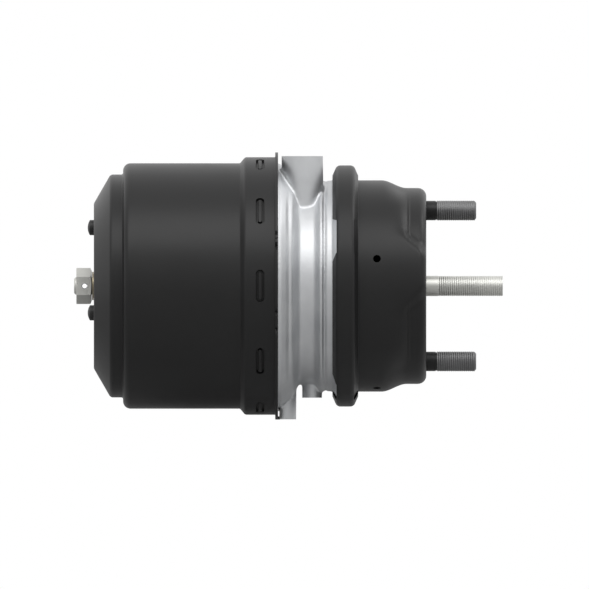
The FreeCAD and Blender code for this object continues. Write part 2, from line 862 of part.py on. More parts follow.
def make_intermediate_flange():
    """The casting: pilot, bell, neck and clamped rim, with its ports, bosses, ribs and hub."""
    pilot_front = rim_x - pilot_step
    skin = casting_outline()
    body = turned([
        (pilot_x, 0, 0),
        (pilot_x, pilot_radius, pilot_chamfer),
        (pilot_front, pilot_radius, 0),
    ] + skin + [
        (clamp_x - clamp_seat(rim_edge_radius) + seat_gap, rim_edge_radius, clamped_edge_corner),
        (rim_face_x, rim_edge_radius, clamped_edge_corner),
        (rim_face_x, 0, 0),
    ])
    bosses = [port_boss(-1), port_boss(1)] + lower_bosses()
    body = body.fuse(bosses)
    dish = turned([
        (dish_floor_x, 0, 0),
        (dish_floor_x, dish_floor_radius, dish_corner),
        (rim_face_x, dish_mouth_radius, 0),
        (rim_face_x + overshoot, dish_mouth_radius, 0),
        (rim_face_x + overshoot, 0, 0),
    ])
    body = body.cut([dish, casting_cavity()])
    o_ring_x = rim_x - o_ring_distance
    o_ring_half = (o_ring_groove_depth + pilot_gap) / 2 + 2 * seat_gap
    floor = pilot_radius - o_ring_groove_depth
    stake_floor = collar_radius - spring_wall - stake_depth - pilot_gap
    grooves = [
        disc(o_ring_x - o_ring_half, pilot_radius + overshoot, 2 * o_ring_half, floor),
        disc(stake_x - stake_groove_width / 2, pilot_radius + overshoot, stake_groove_width,
             stake_floor),
        disc(shoulder_x + groove_distance - groove_width / 2, shoulder_radius + overshoot,
             groove_width, shoulder_radius - groove_depth),
    ]
    stack_front = dish_floor_x - stack_wall
    bores = [
        disc(hub_x - overshoot, stack_radius, stack_front - hub_x + overshoot),
        disc(hub_x, tube_radius + body_gap, hub_length + overshoot),
        disc(retainer_x() - seat_gap, stack_radius + retainer_depth,
             retainer_thickness + 2 * seat_gap),
    ]
    passage = Part.makeCylinder(
        port_passage_radius, port_distance,
        Vector(-port_distance, port_spread / 2, port_drill_end), Vector(1, 0, 0))
    return body.cut(grooves + bores + [port_bore(-1), port_bore(1), passage]).removeSplitter()


def retainer_x():
    """Back of the stack of seals and bush, where its retaining ring sits."""
    stack = 2 * tube_seal_width + tube_bush_width + 4 * seat_gap
    return dish_floor_x - stack_wall - stack - retainer_thickness


def make_tube_bush():
    x = retainer_x() + retainer_thickness + tube_seal_width + 2 * seat_gap
    return disc(x, stack_radius - running_gap, tube_bush_width, tube_radius + running_gap)


def make_tube_seals():
    """Two lip seals, one each side of the bush, with their lips away from it."""
    first = retainer_x() + retainer_thickness + seat_gap
    second = first + tube_seal_width + tube_bush_width + 2 * seat_gap
    seals = []
    for x, lip in ((first, 0.0), (second, tube_seal_width - seal_lip_depth)):
        ring = disc(x, stack_radius - running_gap, tube_seal_width, tube_radius + running_gap)
        middle = (stack_radius + tube_radius) / 2
        half = tube_seal_groove / 2
        groove = disc(x + lip, middle + half, seal_lip_depth, middle - half)
        seals.append(ring.cut(groove))
    return Part.makeCompound(seals)


def make_seal_retainer():
    """Spring ring in the groove at the back of the hub, open at its foot."""
    ring = disc(retainer_x(), stack_radius + retainer_depth - seat_gap, retainer_thickness,
                tube_radius + 2 * body_gap)
    mouth = Part.makeBox(
        retainer_thickness + 2 * overshoot, circlip_mouth, 2 * stack_radius,
        Vector(retainer_x() - overshoot, -circlip_mouth / 2, -2 * stack_radius))
    return ring.cut(mouth)


def make_housing_o_ring():
    x = rim_x - o_ring_distance
    floor = pilot_radius - o_ring_groove_depth + seat_gap
    section = (collar_radius - spring_wall - seat_gap - floor) / 2
    return Part.makeTorus(floor + section, section, Vector(x, 0, 0), Vector(1, 0, 0))


def stake_prism():
    """A stadium seen from the -Y side, as long round the collar as one stake pocket."""
    half = stake_length / 2
    side = stake_width / 2
    bend = 0.998 * side
    wire = rounded_wire([
        (stake_x - side, -half, bend),
        (stake_x + side, -half, bend),
        (stake_x + side, half, bend),
        (stake_x - side, half, bend),
    ])
    prism = Part.Face(wire).extrude(Vector(0, -2 * stake_length, 0))
    prism.translate(Vector(0, -collar_radius + stake_length, 0))
    return prism


def rim_tab():
    """The small tab at the foot of the rim: it reaches forward and hooks back in to the axis."""
    front = rim_x + tab_reach
    ring = turned([
        (rim_x - rim_thickness / 2, rim_radius - tab_thickness, 0),
        (front - tab_thickness, rim_radius - tab_thickness, 0),
        (front - tab_thickness, tab_lip_radius, 0),
        (front, tab_lip_radius, 0),
        (front, rim_radius, tab_bend),
        (rim_x - rim_thickness / 2, rim_radius, 0),
    ])
    half = math.radians(tab_angle / 2)
    reach = 2 * rim_radius
    wedge = Part.Face(Part.makePolygon([
        Vector(collar_x, 0, 0),
        Vector(collar_x, -reach * math.sin(half), -reach * math.cos(half)),
        Vector(collar_x, reach * math.sin(half), -reach * math.cos(half)),
        Vector(collar_x, 0, 0),
    ]))
    return ring.common(wedge.extrude(Vector(front - collar_x + overshoot, 0, 0)))


def end_outline():
    """Outer skin of the spring housing from its centre hole to the foot of its barrel."""
    return [
        (end_x, bush_radius + seat_gap, 0),
        (end_x, end_face_radius, end_face_bend),
        (end_shoulder_x, end_radius, end_bend),
        (main_x, end_radius, step_bend),
    ]


def make_spring_housing():
    """Coned end, barrel, joggled collar with stake pockets, and a thin rim."""
    shell = pressed(end_outline() + [
        (main_x, spring_radius, main_bend),
        (joggle_x, spring_radius, joggle_bend),
        (collar_x, collar_radius, joggle_bend),
        (collar_front_x, collar_radius, rim_bend),
        (collar_front_x, rim_radius, 0),
    ], spring_wall)
    prism = stake_prism()
    pocket = prism.common(disc(stake_x - stake_width, collar_radius + overshoot, 2 * stake_width,
                               collar_radius - stake_depth))
    inner = collar_radius - spring_wall
    bulge = prism.common(disc(stake_x - stake_width, inner + stake_root, 2 * stake_width,
                              inner - stake_depth))
    shell = shell.cut(ring_of(pocket, stake_count))
    shell = shell.fuse(ring_of(bulge, stake_count) + [rim_tab()])
    for angle in plug_angles:
        shell = shell.cut(placed(plug_hole(), angle))
    return shell


def plug_hole():
    return Part.makeCylinder(
        plug_stem_radius + seat_gap, 3 * spring_wall,
        Vector(end_x - spring_wall, -plug_ring_radius, 0), Vector(1, 0, 0))


def make_vent_plugs():
    """Two domed plugs: a cap outside the end wall, a stem through it and a barb inside."""
    inside = end_inner_x + seat_gap
    plug = turned([
        (end_x - plug_height, 0, 0),
        (end_x - plug_height, plug_radius, plug_dome_bend),
        (end_x - seat_gap, plug_radius, 0),
        (end_x - seat_gap, plug_stem_radius, 0),
        (inside, plug_stem_radius, 0),
        (inside, plug_barb_radius, 0),
        (inside + plug_barb_height, plug_barb_end_radius, 0),
        (inside + plug_barb_height, 0, 0),
    ])
    plug.translate(Vector(0, -plug_ring_radius, 0))
    return Part.makeCompound([placed(plug, angle) for angle in plug_angles])


def make_release_bush():
    """Bush peened into the end wall: a collar outside, a sleeve and a lip inside."""
    lip_end = bush_lip_x + bush_lip_height
    return turned([
        (bush_collar_x, release_radius + running_gap, 0),
        (bush_collar_x, bush_collar_radius, bush_collar_edge),
        (end_x - seat_gap, bush_collar_radius, 0),
        (end_x - seat_gap, bush_radius, 0),
        (bush_lip_x, bush_radius, 0),
        (bush_lip_x, bush_lip_radius, 0),
        (lip_end, bush_lip_end_radius, 0),
        (lip_end, release_radius + running_gap, 0),
    ])


def pin_bore(radius):
    """A hole across the release screw, along Y."""
    start = Vector(hex_x + pin_inset, -hex_width, 0)
    return Part.makeCylinder(radius, 2 * hex_width, start, Vector(0, 1, 0))


def make_release_hex():
    hexagonal = hexagon(hex_x, hex_width, hex_height, hex_chamfer)
    bore = disc(hex_x - overshoot, release_radius + running_gap, hex_height + 2 * overshoot)
    return hexagonal.cut([bore, pin_bore(pin_radius + running_gap)])


def make_release_pin():
    """Hollow spring pin, slotted along its length."""
    start = Vector(hex_x + pin_inset, -pin_length / 2, 0)
    tube = Part.makeCylinder(pin_radius, pin_length, start, Vector(0, 1, 0))
    tube = tube.cut(Part.makeCylinder(pin_bore_radius, pin_length, start, Vector(0, 1, 0)))
    slot = Part.makeBox(
        pin_radius + overshoot, pin_length + 2 * overshoot, pin_slot,
        Vector(start.x, start.y - overshoot, -pin_slot / 2))
    return tube.cut(slot)


def make_release_bolt():
    """The release screw, held at the end wall by a shoulder, with a headed inner end."""
    bolt = turned([
        (release_end_x, 0, 0),
        (release_end_x, release_radius - release_chamfer, 0),
        (release_end_x + release_chamfer, release_radius, 0),
        (release_shoulder_x, release_radius, 0),
        (release_shoulder_x, release_shoulder_radius, release_edge),
        (release_shoulder_x + release_shoulder_height, release_shoulder_radius, release_edge),
        (release_shoulder_x + release_shoulder_height, release_radius, 0),
        (release_head_x, release_radius, 0),
        (release_head_x, release_head_radius, 0),
        (release_head_x + release_head_height, release_head_radius, release_edge),
        (release_head_x + release_head_height, 0, 0),
    ])
    return bolt.cut(pin_bore(pin_radius + running_gap))


def make_release_plate():
    """The nut in the tube that draws the piston back, kept from turning by two lugs."""
    x = release_plate_x
    plate = disc(x, tube_bore_radius - body_gap, release_plate_thickness)
    reach = tube_bore_radius + release_lug_height
    lugs = Part.makeBox(
        release_plate_thickness, release_lug_width - 2 * body_gap, 2 * (reach - body_gap),
        Vector(x, -release_lug_width / 2 + body_gap, -reach + body_gap))
    bore = disc(x - overshoot, release_radius + running_gap, release_plate_thickness + 2 * overshoot)
    return plate.fuse(lugs).cut(bore)


def make_spring_piston():
    """The piston: a web with a hub for the tube and a grooved land that runs in the barrel."""
    radius = cylinder_radius - piston_gap
    land_inner = radius - piston_land_wall
    land_back = piston_x - piston_land
    seal_x = piston_x - seal_groove_distance
    guide_x = piston_x - guide_distance
    rib = power_mean_radius - power_wire / 2 - body_gap
    bore = tube_radius + running_gap
    return turned([
        (piston_hub_x, bore, 0),
        (piston_hub_x, piston_hub_radius, piston_corner),
        (piston_back_x, piston_hub_radius, piston_corner),
        (piston_back_x, rib - piston_rib_width, 0),
        (piston_back_x - piston_rib_height, rib - piston_rib_width, 0),
        (piston_back_x - piston_rib_height, rib, piston_rib_corner),
        (piston_back_x, rib, 0),
        (piston_back_x, land_inner, piston_corner),
        (land_back, land_inner, 0),
        (land_back, radius, piston_corner),
        (guide_x - guide_width, radius, 0),
        (guide_x - guide_width, radius - guide_thickness, 0),
        (guide_x, radius - guide_thickness, 0),
        (guide_x, radius, 0),
        (seal_x - seal_groove_width, radius, 0),
        (seal_x - seal_groove_width, radius - seal_groove_depth, 0),
        (seal_x, radius - seal_groove_depth, 0),
        (seal_x, radius, 0),
        (piston_x, radius, piston_corner),
        (piston_x, bore, 0),
    ])


def make_piston_seal():
    """A U-section seal whose lips face the air chamber."""
    outer = cylinder_radius - running_gap
    inner = cylinder_radius - piston_gap - seal_groove_depth + seat_gap
    front = piston_x - seal_groove_distance - seat_gap
    back = front - seal_groove_width + 2 * seat_gap
    middle = (outer + inner) / 2
    return turned([
        (back, inner, seal_corner),
        (back, outer, seal_corner),
        (front, outer, 0),
        (front, outer - seal_lip_wall, 0),
        (front - seal_lip_depth, middle, seal_corner),
        (front, inner + seal_lip_wall, 0),
        (front, inner, 0),
    ])


def make_piston_guide_ring():
    outer = cylinder_radius - running_gap
    inner = cylinder_radius - piston_gap - guide_thickness + seat_gap
    x = piston_x - guide_distance - guide_width + seat_gap
    return disc(x, outer, guide_width - 2 * seat_gap, inner)


def make_piston_tube():
    """The tube: a stepped tail in the piston's hub, a collar in front of it, two inner slots."""
    groove_front = piston_hub_x - seat_gap
    groove_back = groove_front - circlip_thickness - 2 * seat_gap
    floor = tube_radius - circlip_depth
    collar_back = piston_x + seat_gap
    collar_front = collar_back + tube_collar_height
    tube = turned([
        (tube_back_x, tube_tail_bore, 0),
        (tube_back_x, tube_radius, tube_edge),
        (groove_back, tube_radius, 0),
        (groove_back, floor, 0),
        (groove_front, floor, 0),
        (groove_front, tube_radius, 0),
        (collar_back, tube_radius, 0),
        (collar_back, tube_collar_radius, 0),
        (collar_front, tube_collar_radius, tube_edge),
        (collar_front, tube_radius, 0),
        (tube_front_x, tube_radius, 0),
        (tube_front_x, tube_bore_radius, 0),
        (tube_step_x, tube_bore_radius, 0),
        (tube_step_x, tube_tail_bore, 0),
    ])
    depth = tube_bore_radius + release_lug_height
    slot = Part.makeBox(
        tube_front_x - tube_step_x, release_lug_width, 2 * depth,
        Vector(tube_step_x, -release_lug_width / 2, -depth))
    slot = slot.cut(disc(tube_front_x - cap_spigot_length - overshoot, depth + overshoot,
                         cap_spigot_length + 2 * overshoot))
    return tube.cut(slot)


def make_tube_circlip():
    """Spring ring behind the piston's hub, open on one side."""
    x = piston_hub_x - 2 * seat_gap - circlip_thickness
    inner = tube_radius - circlip_depth + seat_gap
    ring = disc(x, inner + circlip_width, circlip_thickness, inner)
    mouth = Part.makeBox(
        circlip_thickness + 2 * overshoot, circlip_mouth, 2 * tube_radius,
        Vector(x - overshoot, -circlip_mouth / 2, 0))
    return ring.cut(mouth)


def make_tube_cap():
    """The cap in the front of the tube that pushes on the diaphragm."""
    face = tube_front_x + running_gap
    spigot = tube_bore_radius - running_gap
    return turned([
        (face - cap_spigot_length, 0, 0),
        (face - cap_spigot_length, spigot, tube_edge),
        (face, spigot, 0),
        (face, tube_radius, 0),
        (cap_x, tube_radius, cap_dome),
        (cap_x, 0, 0),
    ])


def make_spring_seat():
    """The ring between the end wall and the power spring, coned to fit the wall."""
    x = end_inner_x + seat_gap
    front = spring_seat_x
    corner = inner_skin(end_outline(), spring_wall + seat_gap)[1]
    slope = math.tan(math.radians(end_cone_angle))
    cone_x = corner[0] + (spring_seat_outer_radius - corner[1]) * slope
    return turned([
        (x, spring_seat_inner_radius, 0),
        (x, corner[1], corner[2]),
        (cone_x, spring_seat_outer_radius, 0),
        (front, spring_seat_outer_radius, 0),
        (front, spring_seat_inner_radius, 0),
    ])


def make_power_spring():
    start = spring_seat_x + seat_gap
    length = piston_back_x - body_gap - start
    return coil(start, length, power_mean_radius, power_mean_radius, power_wire, power_turns)


parts = {
    "spring_housing": make_spring_housing,
    "vent_plugs": make_vent_plugs,
    "release_bush": make_release_bush,
    "release_hex": make_release_hex,
    "release_pin": make_release_pin,
    "release_bolt": make_release_bolt,
    "release_plate": make_release_plate,
    "spring_seat": make_spring_seat,
    "power_spring": make_power_spring,
    "spring_piston": make_spring_piston,
    "piston_seal": make_piston_seal,
    "piston_guide_ring": make_piston_guide_ring,
    "piston_tube": make_piston_tube,
    "tube_circlip": make_tube_circlip,
    "tube_cap": make_tube_cap,
    "intermediate_flange": make_intermediate_flange,
    "housing_o_ring": make_housing_o_ring,
    "tube_bush": make_tube_bush,
    "tube_seals": make_tube_seals,
    "seal_retainer": make_seal_retainer,
    "diaphragm": make_diaphragm,
    "push_plate": make_push_plate,
    "push_rod": make_push_rod,
    "return_spring": make_return_spring,
    "service_housing": make_service_housing,
    "mounting_plate": make_mounting_plate,
    "mounting_studs": make_mounting_studs,
    "dust_plate": make_dust_plate,
    "clamp_ring": make_clamp_ring,
    "clamp_bolt": make_clamp_bolt,
    "clamp_nut": make_clamp_nut,
    "clamp_washers": make_clamp_washers,
}

os.makedirs("parts", exist_ok=True)
for name, make in parts.items():
    shape = make()
    shape.exportStep(f"parts/{name}.step")
    solids = len(shape.Solids)
    print(f"{name}: {solids} solid(s), {shape.Volume:.1f} mm3, valid {shape.isValid()}")
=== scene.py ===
import json
import math
import bmesh
import bpy
from mathutils import Matrix, Vector


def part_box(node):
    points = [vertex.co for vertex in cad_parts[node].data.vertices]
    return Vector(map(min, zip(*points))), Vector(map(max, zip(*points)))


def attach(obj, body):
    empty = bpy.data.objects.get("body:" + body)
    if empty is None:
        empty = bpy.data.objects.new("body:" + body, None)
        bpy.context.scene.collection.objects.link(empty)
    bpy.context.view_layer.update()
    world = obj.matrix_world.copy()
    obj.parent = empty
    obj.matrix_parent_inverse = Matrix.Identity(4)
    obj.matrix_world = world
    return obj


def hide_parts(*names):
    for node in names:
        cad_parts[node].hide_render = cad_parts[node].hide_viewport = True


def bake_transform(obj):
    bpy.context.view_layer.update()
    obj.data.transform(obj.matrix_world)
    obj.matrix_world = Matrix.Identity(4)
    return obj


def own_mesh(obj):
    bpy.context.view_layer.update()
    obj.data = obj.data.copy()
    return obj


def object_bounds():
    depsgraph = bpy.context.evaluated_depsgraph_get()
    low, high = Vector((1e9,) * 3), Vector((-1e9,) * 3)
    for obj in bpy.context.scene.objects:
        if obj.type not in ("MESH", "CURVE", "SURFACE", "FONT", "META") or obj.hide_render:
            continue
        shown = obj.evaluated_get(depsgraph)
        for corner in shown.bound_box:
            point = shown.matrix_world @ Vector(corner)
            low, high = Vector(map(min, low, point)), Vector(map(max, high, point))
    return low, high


# A spring brake chamber. Sizes and places here are in millimetres, with X along the push rod and Z up,
# and mesh_of turns them into metres. Angles about the axis start at the -Y side and grow towards +Z.

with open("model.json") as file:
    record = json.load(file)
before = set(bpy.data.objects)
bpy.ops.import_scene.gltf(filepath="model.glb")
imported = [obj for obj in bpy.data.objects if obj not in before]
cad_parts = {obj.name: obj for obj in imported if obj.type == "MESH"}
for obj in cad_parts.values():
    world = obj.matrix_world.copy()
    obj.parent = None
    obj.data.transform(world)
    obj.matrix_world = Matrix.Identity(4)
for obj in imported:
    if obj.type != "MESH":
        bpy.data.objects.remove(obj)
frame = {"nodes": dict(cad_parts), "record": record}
cad_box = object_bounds()
nodes = frame["nodes"]

MM = 0.001

# The photograph: 589 pixels wide, 0.8 mm to a pixel, seen straight along +Y
photo_width = 589
photo_scale = 0.8
photo_axis_pixel = (426.3, 285.97)

# Light, backdrop, floor and camera, in metres apart from the floor's drop
key_place = (-0.10, -0.80, 1.06)
key_aim = (-0.10, 0.0, 0.0)
key_length = 2.2
key_width = 0.8
key_power = 9.6
side_place = (1.15, 0.20, 1.12)
side_aim = (-0.02, 0.0, 0.0)
side_size = 0.45
side_power = 2.7
backdrop_side = (0.0, 0.41, 0.91)
backdrop_full = 0.3
backdrop_dim = 0.42
backdrop_diffuse = 0.35
floor_colour = 0.72
floor_drift = 0.01
floor_drop = 40.0
floor_reach = 3.0
camera_distance = 1.6


# Sizes of the solids that the pieces below stand for

def low(node):
    """A node's lowest corner at rest, in millimetres."""
    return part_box(node)[0] / MM


def high(node):
    """A node's highest corner at rest, in millimetres."""
    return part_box(node)[1] / MM


stud_spacing = 120.7
stud_crest_radius = 8.0
stud_shank_radius = 8.5
stud_neck_radius = 7.55
stud_neck_end = 7.4
stud_groove_radius = 6.7
# The sleeve's radius over the stud groove, where black stands in as painted shade.
groove_shade_radius = 7.35
stud_thread_start = 8.6
stud_step = 0.1
stud_hole_gap = 0.05
stud_end = high("mounting_studs").x
stud_face_radius = stud_crest_radius - 1.9
stud_chamfer = 1.5
stud_back = -11.7
stud_head_front = -7.2
stud_head_radius = 12.0
# The studs' black sleeve: real black paint on the neck, then painted shade laid into the groove before the
# thread.
paint_thickness = 0.25
paint_gap = 0.02
groove_shade_end = stud_thread_start - 0.05
rod_radius = 8.1
rod_crest_radius = 8.0
rod_thread_start = 9.4
rod_foot_radius = 15.0
rod_foot_back = -77.05
rod_foot_front = -74.05
rod_pin_radius = 6.0
rod_back = low("push_rod").x
rod_end = high("push_rod").x

spring_wall = 2.4
spring_radius = 98.2
end_x = low("spring_housing").x
end_radius = 89.2
end_face_radius = 66.0
end_shoulder_x = end_x + 13.4
main_x = end_shoulder_x + 10.0
joggle_x = main_x + 93.6
collar_x = joggle_x + 4.0
collar_front_x = end_x + 145.1
collar_radius = 103.05
rim_x = collar_front_x + 2.3
rim_radius = high("spring_housing").z
bush_hole_radius = 9.6
stake_count = 10
stake_x = collar_front_x - 12.1
stake_length = 25.6
stake_width = 6.4
stake_roll = 0.5
stake_roll_depth = 0.15
stake_wall = 0.25
stake_moat = 1.45
stake_moat_depth = 2.2
stake_floor_depth = 0.35
stake_fringe = 0.3
stake_margin = 1.2
stake_rows = 34
rim_notches = ((-20.8, -18.2), (-12.6, -10.0), (16.2, 18.8), (21.2, 23.8))
rim_notch_depth = 3.4
rim_notch_run = 0.8
tab_reach = 1.5
tab_overlap = 0.5
tab_gap = 0.1
tab_thickness = 0.5
tab_floor = 2.4
tab_lip = 9.2
tab_foot = 6.8
tab_half_angle = 4.0

plug_ring_radius = 51.4
plug_angles = (65.3, -24.7)
plug_radius = 6.1
plug_side = 3.1
plug_height = 4.9
plug_stem_radius = 3.6
plug_barb_radius = 4.6
plug_barb_x = end_x + 2.5
plug_tip_radius = 2.8
plug_tip_x = end_x + 4.7

hex_x = low("release_hex").x
hex_end = high("release_hex").x
hex_apothem = 12.5
hex_chamfer = 0.35
hex_lean = 0.35
hex_face_length = 0.3
hex_face_drop = 0.6
hex_skin = 0.5
hex_lean_length = 1.0
hex_bore_radius = 6.95
pin_x = (low("release_pin").x + high("release_pin").x) / 2
pin_hole_radius = 2.55

service_radius = 84.55
service_wall = 3.0
flange_x = low("service_housing").x
flange_radius = high("service_housing").z
flange_foot_x = flange_x + 3.6
flange_lip = 7.4
nose_depth = 6.15
nose_corner = 6.8
nose_start = -35.8
nose_end = -15.8
crease_start = -33.5
crease_end = -15.2
crease_power = 2.8
crease_step = 0.9
crease_step_start = -13.9
crease_step_length = 1.4
crease_fine = crease_end - 2.5
crease_past = crease_end + 0.2
crown_angle = 8.5
crown_half_angle = 12.5
crown_blend = 10.0
crown_flare = 10.0
flare_start = -18.0
flare_end = -2.0
gentle_angle = 42.0
gentle_blend = 26.0
drain_radius = 3.1
drain_x = -39.5
drain_angle = 15.0
rod_hole_radius = 14.0

return_wire = 4.2
return_turns = 4.5
return_back_radius = 48.0
return_front_radius = 32.0
power_wire = 12.4
power_turns = 3.75
power_radius = 68.0
coil_sides = 12
coil_steps = 40
diaphragm_wall = 3.0
dish_radius = 57.9
dish_inner_radius = 56.4
bead_back = -66.4
bead_front = -61.3
bead_back_radius = 78.9
bead_tip = (-57.1, 82.0)
bead_throat = (-62.0, 77.2)

port_x = -99.2
port_y = 30.4
port_top = 103.9
port_boss_radius = 16.5
port_boss_plug = 14.0
boss_bead_radius = 0.85
boss_bead_lift = 0.2
boss_bead_steps = 120
boss_extra = 3.0
boss_root = 4.0
boss_cut_reach = 1.5
boss_cut_depth = 5.0
small_boss_x = -91.4
small_boss_radius = 7.95
small_boss_end = 89.4
vent_boss_x = -113.8
vent_boss_radius = 9.7
vent_boss_end = 106.7
vent_boss_flat_x = rim_x + 1.6
casting_skin = ((rim_x - 1, 97.6), (rim_x + 1.8, 97.6), (rim_x + 12.0, 88.0), (rim_x + 16.8, 78.4),
                (rim_x + 29.6, 78.4), (rim_x + 33.6, 84.3), (rim_x + 60.0, 84.3))
lower_bosses = ((small_boss_x, small_boss_radius, small_boss_end),
                (vent_boss_x, vent_boss_radius, vent_boss_end))
casting_grooves = ((-81.8, 1.9, 1.7), (-110.2, 2.4, 0.6))
groove_fade = (64.0, 82.0)
skin_reach = 1.2
casting_voxel = 0.9
casting_softness = 4
port_bore_radius = 7.25
port_bore_depth = 15.0
port_mouth_radius = 8.6
port_thread_start = 1.0
port_thread_depth = 0.75
port_thread_clear = 1.5
port_thread_run = 0.3
port_point_depth = 2.0
port_point_radius = 0.5

weld_distance = 0.002
sliver_length = 0.001


# Materials

def node_adder(tree):
    """A helper that adds nodes to a tree: values named in_Something go to the socket Something."""
    def add(kind, links=(), **values):
        node = tree.nodes.new(kind)
        for key, value in values.items():
            if key.startswith("in_"):
                node.inputs[key[3:].replace("_", " ")].default_value = value
            else:
                setattr(node, key, value)
        for output, socket in links:
            tree.links.new(output, node.inputs[socket])
        return node

    return add


def new_material(name):
    """A material with its Principled shader, and helpers that add nodes to it and link them."""
    material = bpy.data.materials.new(name)
    material.use_nodes = True
    tree = material.node_tree
    return material, tree.nodes["Principled BSDF"], node_adder(tree), tree.links.new


def noise(add, place, scale, detail=3.0):
    """Noise in the object's frame, with this many cells to a metre."""
    return add("ShaderNodeTexNoise", [(place, "Vector")], in_Scale=scale, in_Detail=detail,
               in_Roughness=0.55)


def ramp(add, source, stops):
    """Colours or greys at positions along a value."""
    node = add("ShaderNodeValToRGB", [(source, "Fac")])
    elements = node.color_ramp.elements
    while len(elements) < len(stops):
        elements.new(0.5)
    for element, (position, colour) in zip(elements, stops):
        element.position = position
        element.color = (*colour, 1.0)
    return node


def span(add, source, least, most):
    """A value between least and most, from a source between 0.3 and 0.7."""
    return add("ShaderNodeMapRange", [(source, "Value")], in_From_Min=0.3, in_From_Max=0.7,
               in_To_Min=least, in_To_Max=most)


def bumped(add, link, shader, height, distance):
    """Gives a shader a relief of this depth in metres."""
    bump = add("ShaderNodeBump", [(height, "Height")], in_Distance=distance, in_Strength=1.0)
    link(bump.outputs["Normal"], shader.inputs["Normal"])


def finish_like(name, dark, light, metallic, rough, grain, grain_height, patch=14.0, shine=0.5):
    """A finish whose colour drifts between two tones in patches, with a fine grain in its surface."""
    material, shader, add, link = new_material(name)
    place = add("ShaderNodeTexCoord").outputs["Object"]
    patches = noise(add, place, patch, detail=4.0)
    fine = noise(add, place, grain, detail=2.0)
    tone = ramp(add, patches.outputs["Fac"], [(0.3, dark), (0.7, light)])
    link(tone.outputs["Color"], shader.inputs["Base Color"])
    wear = span(add, patches.outputs["Fac"], rough[0], rough[1])
    link(wear.outputs["Result"], shader.inputs["Roughness"])
    bumped(add, link, shader, fine.outputs["Fac"], grain_height)
    shader.inputs["Metallic"].default_value = metallic
    shader.inputs["Specular IOR Level"].default_value = shine
    return material


materials = {
    "black_steel": finish_like("black_paint", (0.009, 0.009, 0.0092), (0.012, 0.012, 0.0123), 0.0,
                               (0.36, 0.44), 900.0, 0.00004, shine=0.35),
    "cast_aluminium": finish_like("cast_aluminium", (0.59, 0.60, 0.615), (0.68, 0.69, 0.70), 0.85,
                                  (0.42, 0.52), 1400.0, 0.00005, patch=40.0),
    "bright_zinc": finish_like("bright_zinc", (0.58, 0.58, 0.55), (0.68, 0.68, 0.645), 1.0,
                               (0.38, 0.47), 1600.0, 0.00002, patch=60.0),
    "yellow_zinc": finish_like("yellow_zinc", (0.36, 0.31, 0.21), (0.46, 0.41, 0.31), 1.0,
                               (0.28, 0.38), 1600.0, 0.00002, patch=120.0),
    "dark_steel": finish_like("dark_phosphate", (0.17, 0.17, 0.172), (0.23, 0.23, 0.232), 1.0,
                              (0.42, 0.55), 1500.0, 0.00003, patch=80.0),
    "spring_steel": finish_like("spring_steel", (0.16, 0.16, 0.165), (0.24, 0.24, 0.25), 1.0,
                                (0.35, 0.45), 1200.0, 0.00002, patch=30.0),
    "black_plastic": finish_like("black_plastic", (0.012, 0.012, 0.012), (0.02, 0.02, 0.02), 0.0,
                                 (0.42, 0.55), 2200.0, 0.00003, patch=60.0),
    "pale_plastic": finish_like("pale_plastic", (0.66, 0.64, 0.58), (0.72, 0.70, 0.65), 0.0,
                                (0.45, 0.55), 1800.0, 0.00002, patch=40.0),
    "rubber": finish_like("rubber", (0.014, 0.014, 0.014), (0.022, 0.022, 0.022), 0.0,
                          (0.6, 0.75), 1300.0, 0.00005, patch=40.0),
}

slot_of = {part["node"]: part["material_slot"] for part in frame["record"]["subparts"]}
for name, node in nodes.items():
    node.data.materials.clear()
    node.data.materials.append(materials[slot_of[name]])


# Mesh helpers. Points and faces are plain lists, in millimetres.

def rounded(corners, steps=5):
    """The (x, r) points of an outline whose corners, given as (x, r, bend), are rounded by arcs."""
    points = []
    for i, (x, r, bend) in enumerate(corners):
        here = Vector((x, r))
        if bend == 0 or i in (0, len(corners) - 1):
            points.append(here)
            continue
        before = (Vector(corners[i - 1][:2]) - here).normalized()
        after = (Vector(corners[i + 1][:2]) - here).normalized()
        half = before.angle(after) / 2
        centre = here + (before + after).normalized() * bend / math.sin(half)
        spoke = here + before * bend / math.tan(half) - centre
        sweep = math.copysign(math.pi - 2 * half, before.x * after.y - before.y * after.x)
        for k in range(steps + 1):
            points.append(centre + Matrix.Rotation(-sweep * k / steps, 2) @ spoke)
    return [(p.x, p.y) for p in points]


def evenly(start, end, count):
    """Places from start to end, both included, with this many equal steps between them."""
    return [start + (end - start) * i / count for i in range(count + 1)]


def smooth(share):
    """A share held between 0 and 1, with a soft start and end."""
    share = min(max(share, 0.0), 1.0)
    return share * share * (3.0 - 2.0 * share)


def around(count):
    """This many angles, in degrees, evenly round the axis."""
    return [360.0 * i / count for i in range(count)]


def grid_of(outline, angles, change=None):
    """Points and faces of an outline turned about the axis; change(x, r, angle) may move a point."""
    points = []
    for x, r in outline:
        for angle in angles:
            px, pr = change(x, r, angle) if change else (x, r)
            turn = math.radians(angle)
            points.append((px, -pr * math.cos(turn), pr * math.sin(turn)))
    faces = []
    columns = len(angles)
    for i in range(len(outline) - 1):
        for j in range(columns):
            k = (j + 1) % columns
            faces.append((i * columns + j, i * columns + k, (i + 1) * columns + k, (i + 1) * columns + j))
    return points, faces


def swept(loop, angles):
    """Points and faces of a closed (x, r) loop turned through part of a circle, with its ends closed."""
    points = []
    for angle in angles:
        turn = math.radians(angle)
        points += [(x, -r * math.cos(turn), r * math.sin(turn)) for x, r in loop]
    count = len(loop)
    faces = [tuple(range(count)), tuple(reversed(range(len(points) - count, len(points))))]
    for i in range(len(angles) - 1):
        for j in range(count):
            k = (j + 1) % count
            faces.append((i * count + j, i * count + k, (i + 1) * count + k, (i + 1) * count + j))
    return points, faces


